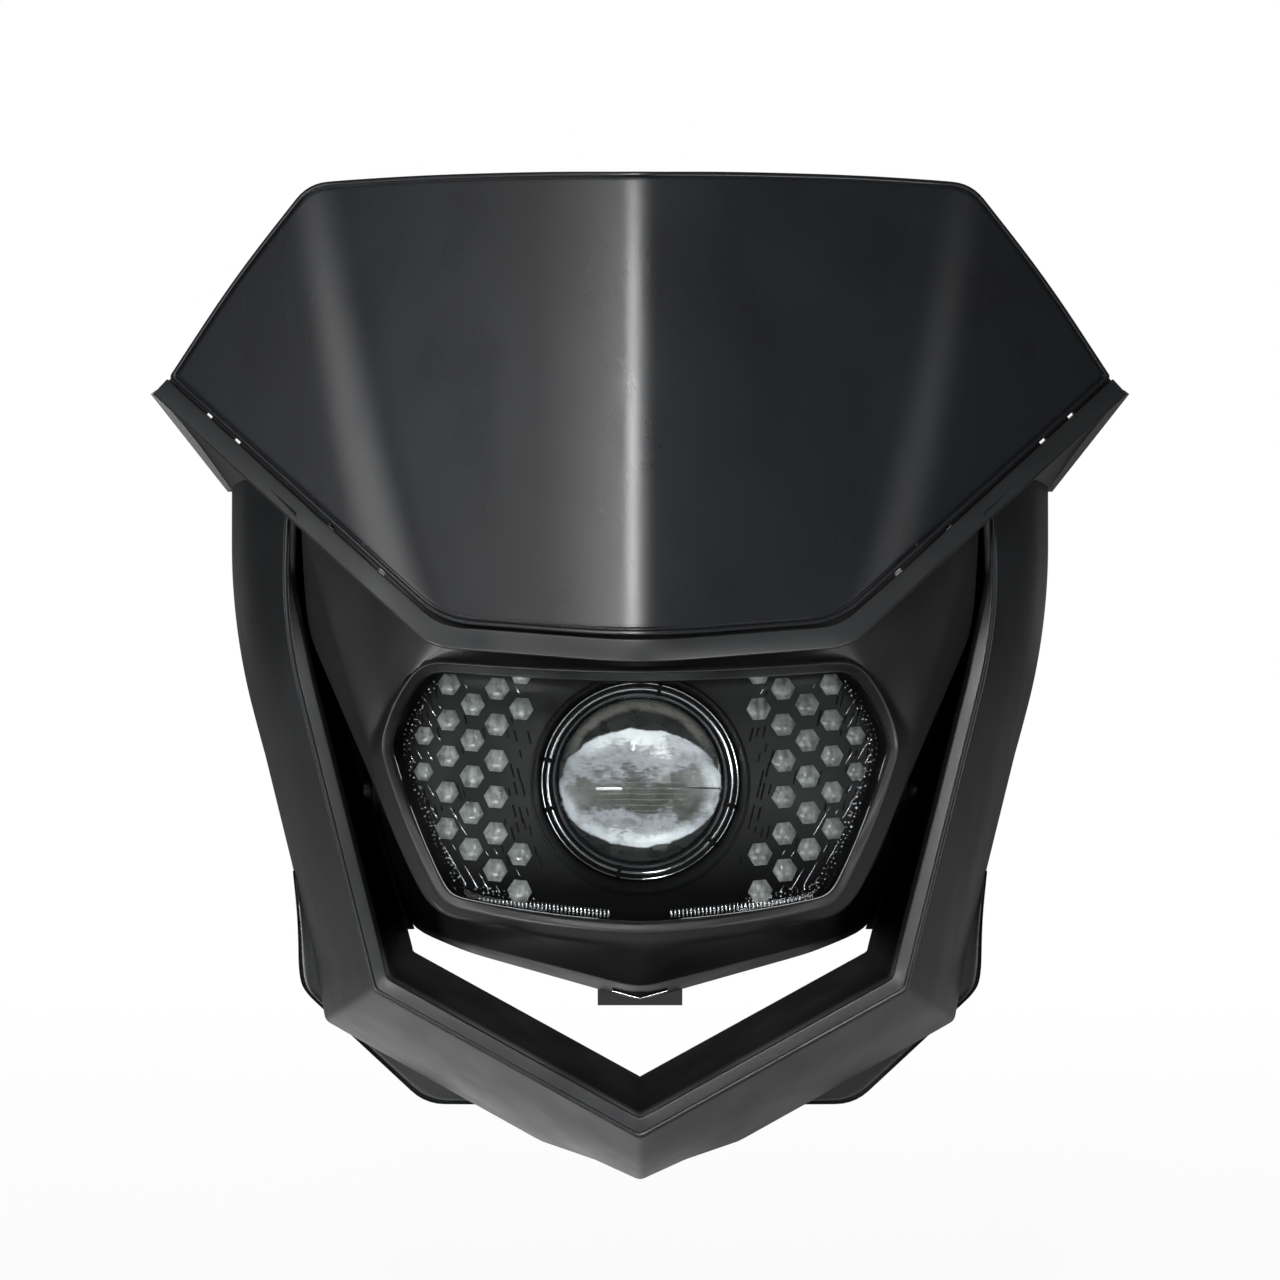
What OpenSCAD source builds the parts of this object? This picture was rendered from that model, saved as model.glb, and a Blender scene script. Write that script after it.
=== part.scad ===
// Led headlight with its mask for an off-road motorcycle, in millimetres.
// X is to the right seen from the front, Y to the rear and Z up. The mounting
// plane lies at Y = 0, and the origin is the centre of the four mounting holes.
// Inside the modules, depth is counted rearwards from a plane just ahead of the mask.

/* [Mounting] */
// Depth of the mounting plane
mount_depth = 118; // [116:1:130]
// Distance between the mounting holes, side to side
hole_span_x = 200; // [190:1:206]
// Distance between the mounting holes, top to bottom
hole_span_z = 110; // [90:1:116]
// Diameter of the mounting holes
mount_hole_d = 6.5; // [5:0.1:8]
// Thickness of the mounting brackets
bracket_t = 3; // [2:0.5:5]
// Width of the mounting brackets
bracket_w = 20; // [18:1:24]
// Height of the mounting brackets
bracket_h = 130; // [126:1:140]
// Diameter of the screws that hold the brackets
bracket_screw_d = 5; // [4:0.5:6]
// Distance between the two screws of a bracket
bracket_screw_span = 60; // [50:1:70]
// How far the sleeves stand out behind the brackets
sleeve_proud = 3; // [3:0.5:5]
// Wall of the sleeves
sleeve_wall = 1.5; // [1:0.25:2.5]

/* [Number plate] */
// Half the width of the plate between its outer tips
plate_half = 147; // [140:1:155]
// Half the width of the plate at its top corners
plate_top_half = 100; // [90:1:110]
// Height of the top edge
plate_top_z = 142; // [130:1:155]
// Height of the outer tips
plate_tip_z = 81.5; // [75:0.5:90]
// Height of the lower edge in the middle
plate_low_z = 0.5; // [-1:0.5:3]
// Rise of the lower edge from the middle to its corners
plate_low_rise = 5; // [3:0.5:8]
// Half the width of the lower edge between its corners
plate_low_half = 57; // [50:1:62]
// Length over which the lower corners are rounded
plate_low_round = 5; // [3:0.5:8]
// Drop of the rounded top corner
plate_top_round = 6; // [3:0.5:9]
// Thickness of the plate
plate_t = 3; // [2:0.25:4]
// Depth of the plate at the lower edge in the middle
plate_front = 4.5; // [3:0.5:8]
// Backward lean of the plate
plate_lean = 21.3; // [18:0.1:25]
// Backward sweep of the two main faces
plate_sweep = 10.2; // [6:0.1:15]
// Backward sweep of the two outer wings
wing_sweep = 30.5; // [25:0.1:35]
// Half the width of the rounded ridge
ridge_half = 6; // [3:0.5:10]
// Half the distance between the folds at the lower edge
fold_low_half = 58; // [50:1:64]
// Half the distance between the folds at the top edge
fold_top_half = 99; // [90:1:106]
// Height of the ribs on the back of the plate
plate_rib_h = 6; // [3:0.5:9]
// Half the distance between the two upright ribs
plate_rib_half = 34; // [26:1:44]
// Half the distance between the inner screws of the plate
plate_screw_in = 30; // [26:1:40]
// Half the distance between the outer screws of the plate
plate_screw_out = 78; // [72:1:90]

/* [Mask frame] */
// Wall thickness of the frame
frame_t = 2.6; // [2:0.1:3.5]
// Gap between the plate and the band below it
groove = 0.9; // [0.5:0.1:2]
// Height of the band below the plate
band_w = 6.4; // [4:0.1:9]
// Depth of the lip under the band
band_lip = 3; // [2:0.5:5]
// Height of the ledge behind the plate
ledge_h = 10; // [8:0.5:14]
// Clearance between parts that touch face to face
seat_gap = 0.3; // [0.2:0.05:0.6]
// Half the width of the arms at their front crease
arm_half = 106.6; // [102:0.2:112]
// Inward lean of the arms below their bend
arm_angle = 15.9; // [13:0.1:19]
// Height of the bend of the arms
arm_bend_z = 4.4; // [-5:0.2:15]
// Softness of the bend of the arms
arm_bend_soft = 20; // [10:1:30]
// Height of the top of the arms
arm_top_z = 44; // [40:1:48]
// Height of the lower corners of the front crease
corner_z = -100.8; // [-108:0.2:-97]
// Height of the lowest point of the front crease
tip_z = -141.3; // [-150:0.1:-136]
// Depth of the lowest point of the front crease
tip_depth = 10; // [6:0.5:16]
// Backward rake of the front crease
frame_rake = 14.6; // [12:0.1:17]
// Width of the front strip inside the crease
strip_w = 4.6; // [3:0.1:7]
// Set-back of the inner edge of the front strip
strip_drop = 2.6; // [1:0.1:4]
// Depth of the inner wall of the arms
wall_depth = 45; // [35:1:50]
// Draft of the inner wall
wall_draft = 5.5; // [3:0.5:8]
// Outward flare of the outer faces along the arms
arm_flare = 22.6; // [18:0.2:26]
// Outward flare of the outer faces at the lowest point
tip_flare = 16.4; // [12:0.2:20]
// Depth of the outer faces along the arms
face_depth = 56; // [50:1:60]
// Depth of the outer faces at the lowest point
tip_face_depth = 40; // [32:1:50]
// Height over which the lowest point is blunted
tip_round = 10; // [5:1:20]
// Distance from the outer rear edge to the mounting plane
side_gap = 23; // [20:1:28]
// Depth of the skirt behind the outer faces
skirt_depth = 16; // [10:1:18]
// Inward draft of the skirt
skirt_draft = 3; // [1:0.5:6]
// Roundness of the outer faces
face_crown = 1.6; // [0.5:0.1:3]
// Half the width of the foot flanges
flange_half = 106.5; // [104:0.5:112]
// Height of the upper end of the foot flanges
flange_top_z = -66; // [-76:1:-60]
// Height of the outer corner of the foot flanges
flange_corner_z = -107.5; // [-114:0.5:-102]
// Half the width between the inner ends of the foot flanges
flange_foot_half = 62; // [56:1:68]
// Height of the bottom edge of the foot flanges
flange_foot_z = -144.5; // [-150:0.5:-142]
// Depth of the foot flanges
flange_depth = 85; // [80:1:90]
// Thickness of the foot flanges
flange_t = 2.4; // [2:0.1:4]

/* [Lamp opening] */
// Height of the top edge of the opening in the middle
open_top_z = -11.9; // [-14:0.1:-10]
// Height of the bottom edge of the opening in the middle
open_low_z = -79.4; // [-84:0.1:-76]
// Half the width at the top corners
open_top_half = 61.5; // [56:0.5:66]
// Rise of the top corners above the middle of the top edge
open_top_rise = 3; // [1:0.1:5]
// Half the width of the opening at its widest
open_half = 72.1; // [70:0.1:76]
// Height of the widest point
open_mid_z = -31; // [-36:0.5:-26]
// Half the width at the bottom corners
open_low_half = 54.6; // [50:0.2:60]
// Rise of the bottom corners above the middle of the bottom edge
open_low_rise = 7; // [4:0.5:10]
// Depth of the opening at its bottom edge
open_depth = 4.3; // [3:0.1:6]
// Backward rake of the opening
open_rake = 11.7; // [8:0.1:15]
// Backward sweep of the opening, as depth at the widest point
open_sweep = 12.1; // [8:0.1:15]

/* [Shroud] */
// Wall thickness of the shroud
shroud_t = 2.2; // [1.8:0.1:3]
// Width of the rim round the opening
rim_w = 3.4; // [2:0.1:5]
// Depth of the rim at the bottom edge
rim_depth = 2; // [1:0.1:3]
// Set-back of the rim at its widest point
rim_sweep = 18.4; // [14:0.1:22]
// Half the width of the cheeks half-way down
cheek_mid_half = 87; // [83:0.5:91]
// Depth of the floor of the recess beside the cheeks
recess_depth = 68; // [64:1:72]
// Height of the lowest edge of the front face of the chin
chin_z = -100.3; // [-104:0.1:-97]
// Depth of the lowest edge of the front face of the chin
chin_depth = 22; // [16:0.5:28]
// Height of the lower rear edge of the chin
chin_low_z = -107.5; // [-111:0.1:-104]
// Depth of the lower rear edge of the chin
chin_low_depth = 48; // [44:1:54]
// Half the width of the chin at its ends
chin_half = 70; // [66:0.5:72]
// Width of the small slot in the chin
chin_slot_w = 14; // [8:1:18]

/* [Lamp] */
// Largest tilt of the lamp each way
tilt_max = 2.5; // [1:0.5:3]
// Depth of the pivot axis
pivot_depth = 52; // [48:1:56]
// Height of the pivot axis
pivot_z = -45; // [-50:1:-40]
// Diameter of the pivot screws
pivot_d = 5; // [4:0.5:6]
// Running clearance round the pivot screws
pivot_play = 0.08; // [0.05:0.01:0.1]
// Wall of the pivot bushes
bush_wall = 1.5; // [1:0.25:2.5]
// Set-back of the outer lens behind the opening
lens_gap = 4.6; // [4.2:0.1:5.5]
// Overlap of the outer lens behind the rim
lens_over = 1.6; // [1:0.1:2]
// Wall thickness of the outer lens
lens_t = 2.2; // [1.6:0.1:3]
// Depth of the rear edge of the outer lens
lens_back = 44; // [42:0.5:46]
// Thickness of the gasket
gasket_t = 1.2; // [0.8:0.1:2]
// Set-back of the inner bezel behind the opening
bezel_gap = 9.5; // [9:0.25:11]
// Wall thickness of the inner bezel
bezel_t = 1.6; // [1.2:0.1:2.4]
// Corner radius of the hexagonal windows
hex_r = 3.5; // [2.5:0.05:3.8]
// Loss of radius towards the outer column
hex_taper = 0.17; // [0.05:0.01:0.25]
// Distance between the columns of windows
hex_pitch_x = 7.15; // [7:0.05:7.5]
// Distance between the windows of a column
hex_pitch_z = 10.4; // [9.5:0.1:11]
// Half the distance between the inner columns
hex_first = 34.5; // [34:0.25:36]
// Height of the first window of the fourth column
hex_top_z = -13; // [-14:0.25:-12]
// Drop of the rows towards the middle for each column
hex_drop = 0.6; // [0:0.1:1]
// Thickness of the diffuser plates
diffuser_t = 1.5; // [1:0.1:2.5]
// Thickness of the circuit boards
board_t = 1.6; // [1:0.1:2]
// Width of a light chip
chip_w = 2.4; // [1.5:0.1:3.5]

/* [Projector] */
// Height of the projector axis
beam_z = -41.2; // [-44:0.2:-39]
// Diameter of the projector lens
glass_d = 49.6; // [46:0.2:52]
// Height of the dome of the projector lens
glass_dome = 12; // [9:0.5:14]
// Thickness of the edge of the projector lens
glass_edge = 3; // [2:0.5:5]
// Depth of the front of the projector lens
glass_depth = 22; // [21:0.5:24]
// Inner diameter of the funnel round the projector
funnel_d = 62; // [59:0.5:64]
// Width of the ring that holds the projector lens
ring_w = 2.6; // [2:0.1:3.5]
// Number of clips on that ring
ring_clips = 6; // [3:1:8]
// Wall thickness of the barrel
barrel_t = 2; // [1.5:0.25:3]
// Length of the barrel behind the lens
barrel_len = 24; // [20:1:26]
// Length of the reflector bowl
bowl_len = 30; // [26:1:32]
// Wall thickness of the reflector bowl
bowl_t = 1.6; // [1.2:0.1:2.5]
// Size of the light emitter
emitter_w = 5; // [3:0.5:8]

/* [Rear housing] */
// Wall thickness of the rear housing
housing_t = 2.4; // [2:0.1:3.5]
// Set-in of the housing behind its flange
housing_inset = 0.8; // [0.6:0.1:1.2]
// Depth of the rear wall of the housing
housing_back = 86; // [82:1:90]
// Thickness of the housing flange
flange_ring_t = 4; // [3:0.5:6]
// Width of the aiming tongue
tongue_w = 25.4; // [20:0.2:30]
// Thickness of the aiming tongue
tongue_t = 5; // [4:0.25:6]
// Height of the underside of the aiming tongue
tongue_z = -109.6; // [-113:0.2:-108]
// Clearance between the tilted tongue and the chin
tongue_gap = 3; // [2:0.5:4]
// Diameter of the aiming screw
aim_d = 4; // [3:0.5:5]
// Half the width of the heat sink
sink_half = 32; // [26:1:38]
// Height of the heat sink
sink_h = 44; // [36:1:50]
// Thickness of the base of the heat sink
sink_base = 4; // [3:0.5:6]
// Length of the fins of the heat sink
fin_len = 18; // [10:1:20]
// Thickness of a fin
fin_t = 1.8; // [1.2:0.1:2.5]
// Number of fins
fin_count = 9; // [5:1:13]
// Diameter of the small screws
small_screw_d = 3; // [2.5:0.5:4]

/* [Hidden] */
$fn = 48;
side_depth = mount_depth - side_gap;

// General functions
function unit(v) = v / max(norm(v), 0.000001);
function mix(a, b, k) = a + (b - a) * k;
function clamp01(v) = min(max(v, 0), 1);
function steps(a, b, n) = [for (i = [0 : n - 1]) mix(a, b, i / n)];
function flat(list) = [for (row = list) for (item = row) item];
function reversed(list) = [for (i = [len(list) - 1 : -1 : 0]) list[i]];
function tail(list) = [for (i = [1 : len(list) - 1]) list[i]];
// Nought below -w, v above w and a parabola between them
function softened(v, w) = v < -w ? 0 : v > w ? v : (v + w) * (v + w) / (4 * w);
// Turns a tangent in the front plane into the normal on its right hand
function turned(t) = [t[1], -t[0]];
function joined_normal(a, b) = let (m = unit(a + b)) m / max(m * a, 0.5);
function open_normal(path, i) = let (last = len(path) - 1)
    joined_normal(turned(unit(path[max(i, 1)] - path[max(i, 1) - 1])),
        turned(unit(path[min(i, last - 1) + 1] - path[min(i, last - 1)])));
function closed_normal(path, i) = let (n = len(path))
    joined_normal(turned(unit(path[i] - path[(i + n - 1) % n])),
        turned(unit(path[(i + 1) % n] - path[i])));
// Moves a clockwise outline outwards
function grown(path, g) = [for (i = [0 : len(path) - 1]) path[i] - closed_normal(path, i) * g];

// Moves what is drawn with depths into the frame of the mounting plane
module placed() {
    translate([0, -mount_depth, 0]) children();
}

// Turns a flat outline drawn in X and Z into a plate between two depths
module plate_between(front, back) {
    translate([0, back, 0]) rotate([90, 0, 0]) linear_extrude(back - front) children();
}

// Cylinder along the depth
module rod(r, front, back, x, z) {
    translate([x, back, z]) rotate([90, 0, 0]) cylinder(r = r, h = back - front);
}

// Volume of a mesh with its sign, from fans of triangles on each face
function signed_volume(points, faces) = let (parts = [for (f = faces) for (k = [1 : len(f) - 2])
    points[f[0]] * cross(points[f[k]], points[f[k + 1]])]) parts * [for (part = parts) 1] / 6;

// Closed solid whose faces are turned outwards whichever way they were listed
module closed_solid(points, faces) {
    polyhedron(points, signed_volume(points, faces) > 0 ? [for (f = faces) reversed(f)] : faces);
}

// Solid through a row of closed sections with as many points each
module loft(sections) {
    n = len(sections);
    m = len(sections[0]);
    sides = [for (i = [0 : n - 2]) for (j = [0 : m - 1]) let (k = (j + 1) % m)
        each [[i * m + j, i * m + k, (i + 1) * m + k], [i * m + j, (i + 1) * m + k, (i + 1) * m + j]]];
    caps = [[for (j = [m - 1 : -1 : 0]) j], [for (j = [0 : m - 1]) (n - 1) * m + j]];
    closed_solid(flat(sections), concat(sides, caps));
}

// Solid ring through sections that close on themselves
module ring_loft(sections) {
    n = len(sections);
    m = len(sections[0]);
    sides = [for (i = [0 : n - 1]) for (j = [0 : m - 1]) let (k = (j + 1) % m, o = (i + 1) % n)
        each [[i * m + j, i * m + k, o * m + k], [i * m + j, o * m + k, o * m + j]]];
    closed_solid(flat(sections), sides);
}

// Normal of a grid of points at one of its points
function grid_normal(g, i, j, around) = let (n = len(g), m = len(g[0]),
    a = around ? (i + 1) % n : min(i + 1, n - 1),
    b = around ? (i + n - 1) % n : max(i - 1, 0))
    unit(cross(g[a][j] - g[b][j], g[i][min(j + 1, m - 1)] - g[i][max(j - 1, 0)]));

// Closed sections made of a row of points and the same row moved by the wall
function walled(g, t, around) = [for (i = [0 : len(g) - 1])
    concat(g[i], reversed([for (j = [0 : len(g[i]) - 1]) g[i][j] + grid_normal(g, i, j, around) * t]))];

// Number plate
plate_low_edge = [
    [0, plate_low_z],
    [plate_low_half - plate_low_round, plate_low_z + plate_low_rise * 0.75],
    [plate_low_half, plate_low_z + plate_low_rise * 1.15],
    [plate_low_half + plate_low_round, plate_low_z + plate_low_rise * 1.8],
    [plate_half, plate_tip_z]];
plate_top_edge = [
    [0, plate_top_z],
    [plate_top_half, plate_top_z - plate_top_round * 0.1],
    [plate_top_half + plate_top_round, plate_top_z - plate_top_round * 0.7],
    [mix(plate_top_half, plate_half, 0.5), mix(plate_top_z, plate_tip_z, 0.4)],
    [plate_half, plate_tip_z + 1.6]];
plate_cols_half = concat(
    [0, ridge_half / 2, ridge_half],
    steps(ridge_half * 2, plate_low_half - plate_low_round, 4),
    [plate_low_half - plate_low_round, plate_low_half, plate_low_half + plate_low_round],
    tail(steps(plate_low_half + plate_low_round, plate_top_half, 4)),
    [plate_top_half, plate_top_half + plate_top_round],
    tail(steps(plate_top_half + plate_top_round, plate_half, 6)),
    [plate_half]);
plate_cols = concat([for (x = reversed(tail(plate_cols_half))) -x], plate_cols_half);
plate_rows = 12;

function ridge(x) = abs(x) < ridge_half ? x * x / (2 * ridge_half) : abs(x) - ridge_half / 2;
function fold_x(z) = mix(fold_low_half, fold_top_half,
    pow(clamp01((z - plate_low_z) / (plate_top_z - plate_low_z)), 0.6));
// Depth of the plate's front: lean with the height, sweep off the ridge, more sweep past the fold
function plate_depth(x, z) = plate_front + tan(plate_lean) * (z - plate_low_z)
    + tan(plate_sweep) * ridge(x)
    + (tan(wing_sweep) - tan(plate_sweep)) * softened(abs(x) - fold_x(z), plate_low_round);
function plate_low(x) = lookup(abs(x), plate_low_edge);
function plate_top(x) = lookup(abs(x), plate_top_edge);
// Steepness of the plate against the depth, and the depth of its rear face
function plate_slope(x, z) = norm([tan(plate_lean), (plate_depth(x + 1, z) - plate_depth(x - 1, z)) / 2]);
function plate_back(x, z) = plate_depth(x, z) + plate_t * norm([1, plate_slope(x, z)]);

module plate_rib(x, low, high) {
    for (i = [0 : 3]) {
        hull() {
            for (z = [mix(low, high, i / 4), mix(low, high, (i + 1) / 4)]) {
                translate([x - 1, plate_back(x, z) - 1.4, z]) cube([2, plate_rib_h, 1]);
            }
        }
    }
}

plate_boss_r = small_screw_d / 2 + 1.7;
plate_boss_play = 0.3;
plate_head_r = plate_boss_r + 1.6;
plate_screw_xs = [-plate_screw_out, -plate_screw_in, plate_screw_in, plate_screw_out];
function ledge_height(x) = plate_low(x) + ledge_h * 0.55;
ledge_gap = seat_gap + 0.35;
function ledge_front(x, z) = plate_back(x, z) + ledge_gap;
// Rear end of the plate's bosses, just behind the highest point of the ledge's rear face
function boss_end(x, z) = ledge_front(x, z) + frame_t * norm([1, plate_slope(x, z)])
    + plate_slope(x, z) * plate_head_r + seat_gap;

module number_plate() {
    heights = function(x) steps(plate_low(x), plate_top(x), plate_rows);
    sections = [for (x = plate_cols) let (zs = concat(heights(x), [plate_top(x)]))
        concat([for (z = zs) [x, plate_depth(x, z), z]],
            [for (z = reversed(zs)) [x, plate_back(x, z), z]])];
    color("#232527") placed() {
        loft(sections);
        for (s = [-1, 1]) {
            plate_rib(s * plate_rib_half, plate_low_z + ledge_h + 12, plate_top_z - 10);
            hull() {
                for (x = [s * plate_rib_half, s * plate_top_half * 0.86]) {
                    z = (plate_top_z + plate_tip_z) / 2;
                    translate([x, plate_back(x, z) - 1.4, z]) cube([1, plate_rib_h, 2]);
                }
            }
        }
        for (x = [-plate_rib_half, 0]) {
            hull() {
                for (k = [x, x + plate_rib_half]) {
                    z = (plate_top_z + plate_tip_z) / 2;
                    translate([k, plate_back(k, z) - 1.4, z]) cube([1, plate_rib_h, 2]);
                }
            }
        }
        for (x = plate_screw_xs) {
            z = ledge_height(x);
            difference() {
                rod(plate_boss_r, ledge_front(x, z) - 1.6, boss_end(x, z), x, z, $fn = 24);
                rod(small_screw_d / 2, ledge_front(x, z) + 1, boss_end(x, z) + 1, x, z, $fn = 20);
            }
        }
    }
}

// Screws from behind that hold the plate on the ledge
plate_screw_head = 1.8;
module plate_screws() {
    color("#6b6e72") placed() for (x = plate_screw_xs) {
        z = ledge_height(x);
        back = boss_end(x, z) + seat_gap / 3;
        rod(plate_head_r, back, back + plate_screw_head, x, z);
        rod(small_screw_d / 2 - 0.1, ledge_front(x, z) + 1.6, back + 0.1, x, z);
    }
}

// Band with its lip, and the ledge behind the plate
band_edge = [for (x = plate_cols) [x, plate_low(x)]];
function band_section(i) = let (
        e = band_edge[i],
        n = open_normal(band_edge, i),
        d = plate_depth(e[0], e[1]),
        w = groove + band_w,
        at = function(out, depth) [e[0] + n[0] * out, depth, e[1] + n[1] * out],
        up = e - n * ledge_h,
        ledge = ledge_front(up[0], up[1]),
        floor_d = ledge_front(e[0], e[1]))
    [at(groove, d + seat_gap), at(w, d - 1), at(w, d - 1 + band_lip), at(w - frame_t, d - 1 + band_lip),
        at(w - frame_t, d + frame_t), at(groove + frame_t, d + frame_t + 0.6),
        at(groove + frame_t, floor_d + frame_t), at(-ledge_h, ledge + frame_t), at(-ledge_h, ledge),
        at(groove, floor_d)];

module band() {
    loft([for (i = [0 : len(band_edge) - 1]) band_section(i)]);
}

// Arms that run down both sides and meet in a point
function arm_x(z) = arm_half - tan(arm_angle) * softened(arm_bend_z - z, arm_bend_soft);
arm_zs = concat(steps(arm_top_z, arm_bend_z + arm_bend_soft, 3),
    steps(arm_bend_z + arm_bend_soft, arm_bend_z - arm_bend_soft, 4),
    steps(arm_bend_z - arm_bend_soft, corner_z, 4));
corner = [arm_x(corner_z), corner_z];
tip = [0, tip_z];
leg = [for (k = [0 : 3]) mix(corner, tip, k / 4)];
half_path = concat([for (z = arm_zs) [arm_x(z), z]], leg);
arm_path = concat([for (p = half_path) [-p[0], p[1]]], [tip], reversed(half_path));
function crease_depth(z) = tip_depth + tan(frame_rake) * (z - tip_z);
function to_tip(z) = clamp01((z - tip_z) / tip_round);
// The inner wall ends this far ahead of the rear edge of the skirt
wall_end_gap = 7;
function arm_rails(i) = let (
        p = arm_path[i],
        k = to_tip(p[1]),
        d = crease_depth(p[1]),
        flare = mix(tip_flare, arm_flare, k),
        rear = min(d + mix(tip_face_depth, face_depth, k), side_depth),
        wall_rear = min(d + wall_depth, side_depth + skirt_depth - wall_end_gap))
    [[flare - skirt_draft, rear + skirt_depth], [flare, rear],
        [flare * 0.52 + face_crown, mix(d, rear, 0.46)], [0, d],
        [-strip_w, d + strip_drop], [-strip_w - tan(wall_draft) * (wall_rear - d), wall_rear]];
function inner_rails(r) = [
    [r[5][0] + frame_t, r[5][1]], [r[4][0] + frame_t, r[4][1] + frame_t],
    [r[3][0] - 0.4, r[3][1] + frame_t + 0.6],
    [r[2][0] - frame_t, r[2][1] + 1.4], [r[1][0] - frame_t, r[1][1] + 0.8], [r[0][0] - frame_t, r[0][1]]];
function arm_section(i) = let (n = open_normal(arm_path, i), r = arm_rails(i))
    [for (q = concat(r, inner_rails(r)))
        [arm_path[i][0] + n[0] * q[0], q[1], arm_path[i][1] + n[1] * q[0]]];

module arms() {
    loft([for (i = [0 : len(arm_path) - 1]) arm_section(i)]);
}

// Place on the inner wall of the arms at a height, measured inwards from the crease
function wall_x(z, depth) = arm_x(z) - strip_w
    - tan(wall_draft) * (depth - crease_depth(z) - strip_drop);

// Ears under the outer ends of the band
ear_cols = [for (i = [0 : len(band_edge) - 1]) if (band_edge[i][0] > arm_half - 9) i];
function ear_front(i) = let (q = band_section(i)) mix(q[1], q[3], 0.4);
ear_root = [arm_half + arm_flare - 0.5, side_depth, arm_top_z + 2];

module ear() {
    last = len(ear_cols) - 1;
    first = ear_front(ear_cols[0]);
    under = [for (i = [0 : last]) mix(first + [-1, 3, -2], ear_root, i / last)];
    rear = function(b, k) [b[0] - skirt_draft, mix(b[1] + 4, side_depth + skirt_depth, k), b[2] + 1];
    rows = [for (i = [0 : last]) [ear_front(ear_cols[i]), under[i], rear(under[i], i / last)]];
    loft(walled(rows, frame_t, false));
    tip_end = ear_front(ear_cols[last]);
    side = [for (k = [-0.03, 0.5, 1.04]) let (p = mix(tip_end, ear_root, k) + [-1, 1, 0])
        [p, p + [-skirt_draft, skirt_depth - 1, 1]]];
    loft(walled(side, frame_t, false));
}

// Flared plates behind the lower corners
flange_outer = [
    [flange_half + 1.5, flange_top_z - 6],
    [flange_half, mix(flange_top_z, flange_corner_z, 0.5)],
    [flange_half - 0.8, flange_corner_z + 2],
    [flange_half - 3.6, flange_corner_z - 1.6],
    [mix(flange_half, flange_foot_half, 0.5), mix(flange_corner_z, flange_foot_z, 0.48)],
    [flange_foot_half + 2, flange_foot_z],
    [flange_foot_half - 12, flange_foot_z]];
flange_inner = [
    [arm_x(flange_top_z) + 18, flange_top_z],
    [arm_x(flange_corner_z) + 23, mix(flange_top_z, flange_corner_z, 0.55)],
    [corner[0] + 14, corner_z - 8],
    [corner[0] + 11, corner_z - 12],
    [mix(corner[0], tip[0], 0.2) + 9, mix(corner_z, tip_z, 0.2) - 14],
    [mix(corner[0], tip[0], 0.36) + 8, mix(corner_z, tip_z, 0.36) - 14],
    [mix(corner[0], tip[0], 0.46) + 8, mix(corner_z, tip_z, 0.46) - 14]];

module foot_flange() {
    rows = [for (i = [0 : len(flange_outer) - 1]) let (a = flange_inner[i], b = flange_outer[i])
        [[a[0], flange_depth - 9, a[1]], [b[0], flange_depth, b[1]]]];
    loft(walled(rows, flange_t, false));
}

// Lugs on the inner walls that carry the shroud
shroud_fix = [for (z = [18, -60]) [wall_x(z, recess_depth) - 6.5, z]];
lug_front = recess_depth + seat_gap;
lug_t = 3;
module shroud_lug(p) {
    difference() {
        hull() {
            rod(4, lug_front, lug_front + lug_t, p[0], p[1], $fn = 20);
            translate([wall_x(p[1], recess_depth) + 0.8, lug_front, p[1] - 6]) cube([0.8, lug_t, 12]);
        }
        rod(small_screw_d / 2 + 0.15, lug_front - 1, lug_front + lug_t + 1, p[0], p[1], $fn = 16);
    }
}

// Bosses for the brackets, tied to the inner walls
bracket_x = hole_span_x / 2;
boss_r = 5;
boss_x = bracket_x + 5;
boss_front = side_depth - 8;
bracket_back = mount_depth - sleeve_proud;
boss_back = bracket_back - bracket_t;
boss_zs = [-bracket_screw_span / 2, bracket_screw_span / 2];
bracket_screw_bore = bracket_screw_d / 2 + 0.1;

module frame_boss(z) {
    difference() {
        union() {
            rod(boss_r, boss_front, boss_back, boss_x, z, $fn = 24);
            hull() {
                translate([wall_x(z, boss_front) + 1.2, boss_front - 15, z - 1.5]) cube([1, 14, 3]);
                translate([boss_x - 1, boss_front + 1, z - 1.5]) cube([2, boss_back - boss_front - 8, 3]);
            }
            hull() {
                translate([boss_x - 1, boss_front + 2, z - 1.4]) cube([2, boss_back - boss_front - 9, 2.8]);
                translate([arm_x(z) + arm_flare * 0.8, side_depth - 3, z - 1.4]) cube([1, 9, 2.8]);
            }
        }
        rod(bracket_screw_bore, boss_back - 14, boss_back + 1, boss_x, z, $fn = 24);
    }
}

slot_shares = [0.517, 0.626, 0.844, 0.912];
module mask_frame() {
    color("#2b2d2f") placed() difference() {
        union() {
            band();
            arms();
            for (s = [0, 1]) mirror([s, 0, 0]) {
                ear();
                foot_flange();
                for (z = boss_zs) frame_boss(z);
                for (p = shroud_fix) shroud_lug(p);
            }
        }
        for (x = plate_screw_xs) {
            z = ledge_height(x);
            rod(plate_boss_r + plate_boss_play, ledge_front(x, z) - 4, boss_end(x, z) + 4, x, z, $fn = 24);
        }
        // Small slots through the floor of the groove
        for (s = [-1, 1]) for (k = slot_shares) {
            x = k * plate_half;
            translate([s * x, plate_depth(x, plate_low(x)) + 2, plate_low(x) - groove * 0.6])
                cube([groove * 2, ledge_h * 1.4, 1], center = true);
        }
    }
}

// Outline of the lamp opening, clockwise from the middle of the top edge
open_top_corner = [open_top_half, open_top_z + open_top_rise];
open_side = [open_half, open_mid_z];
open_low_corner = [open_low_half, open_low_z + open_low_rise];
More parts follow.
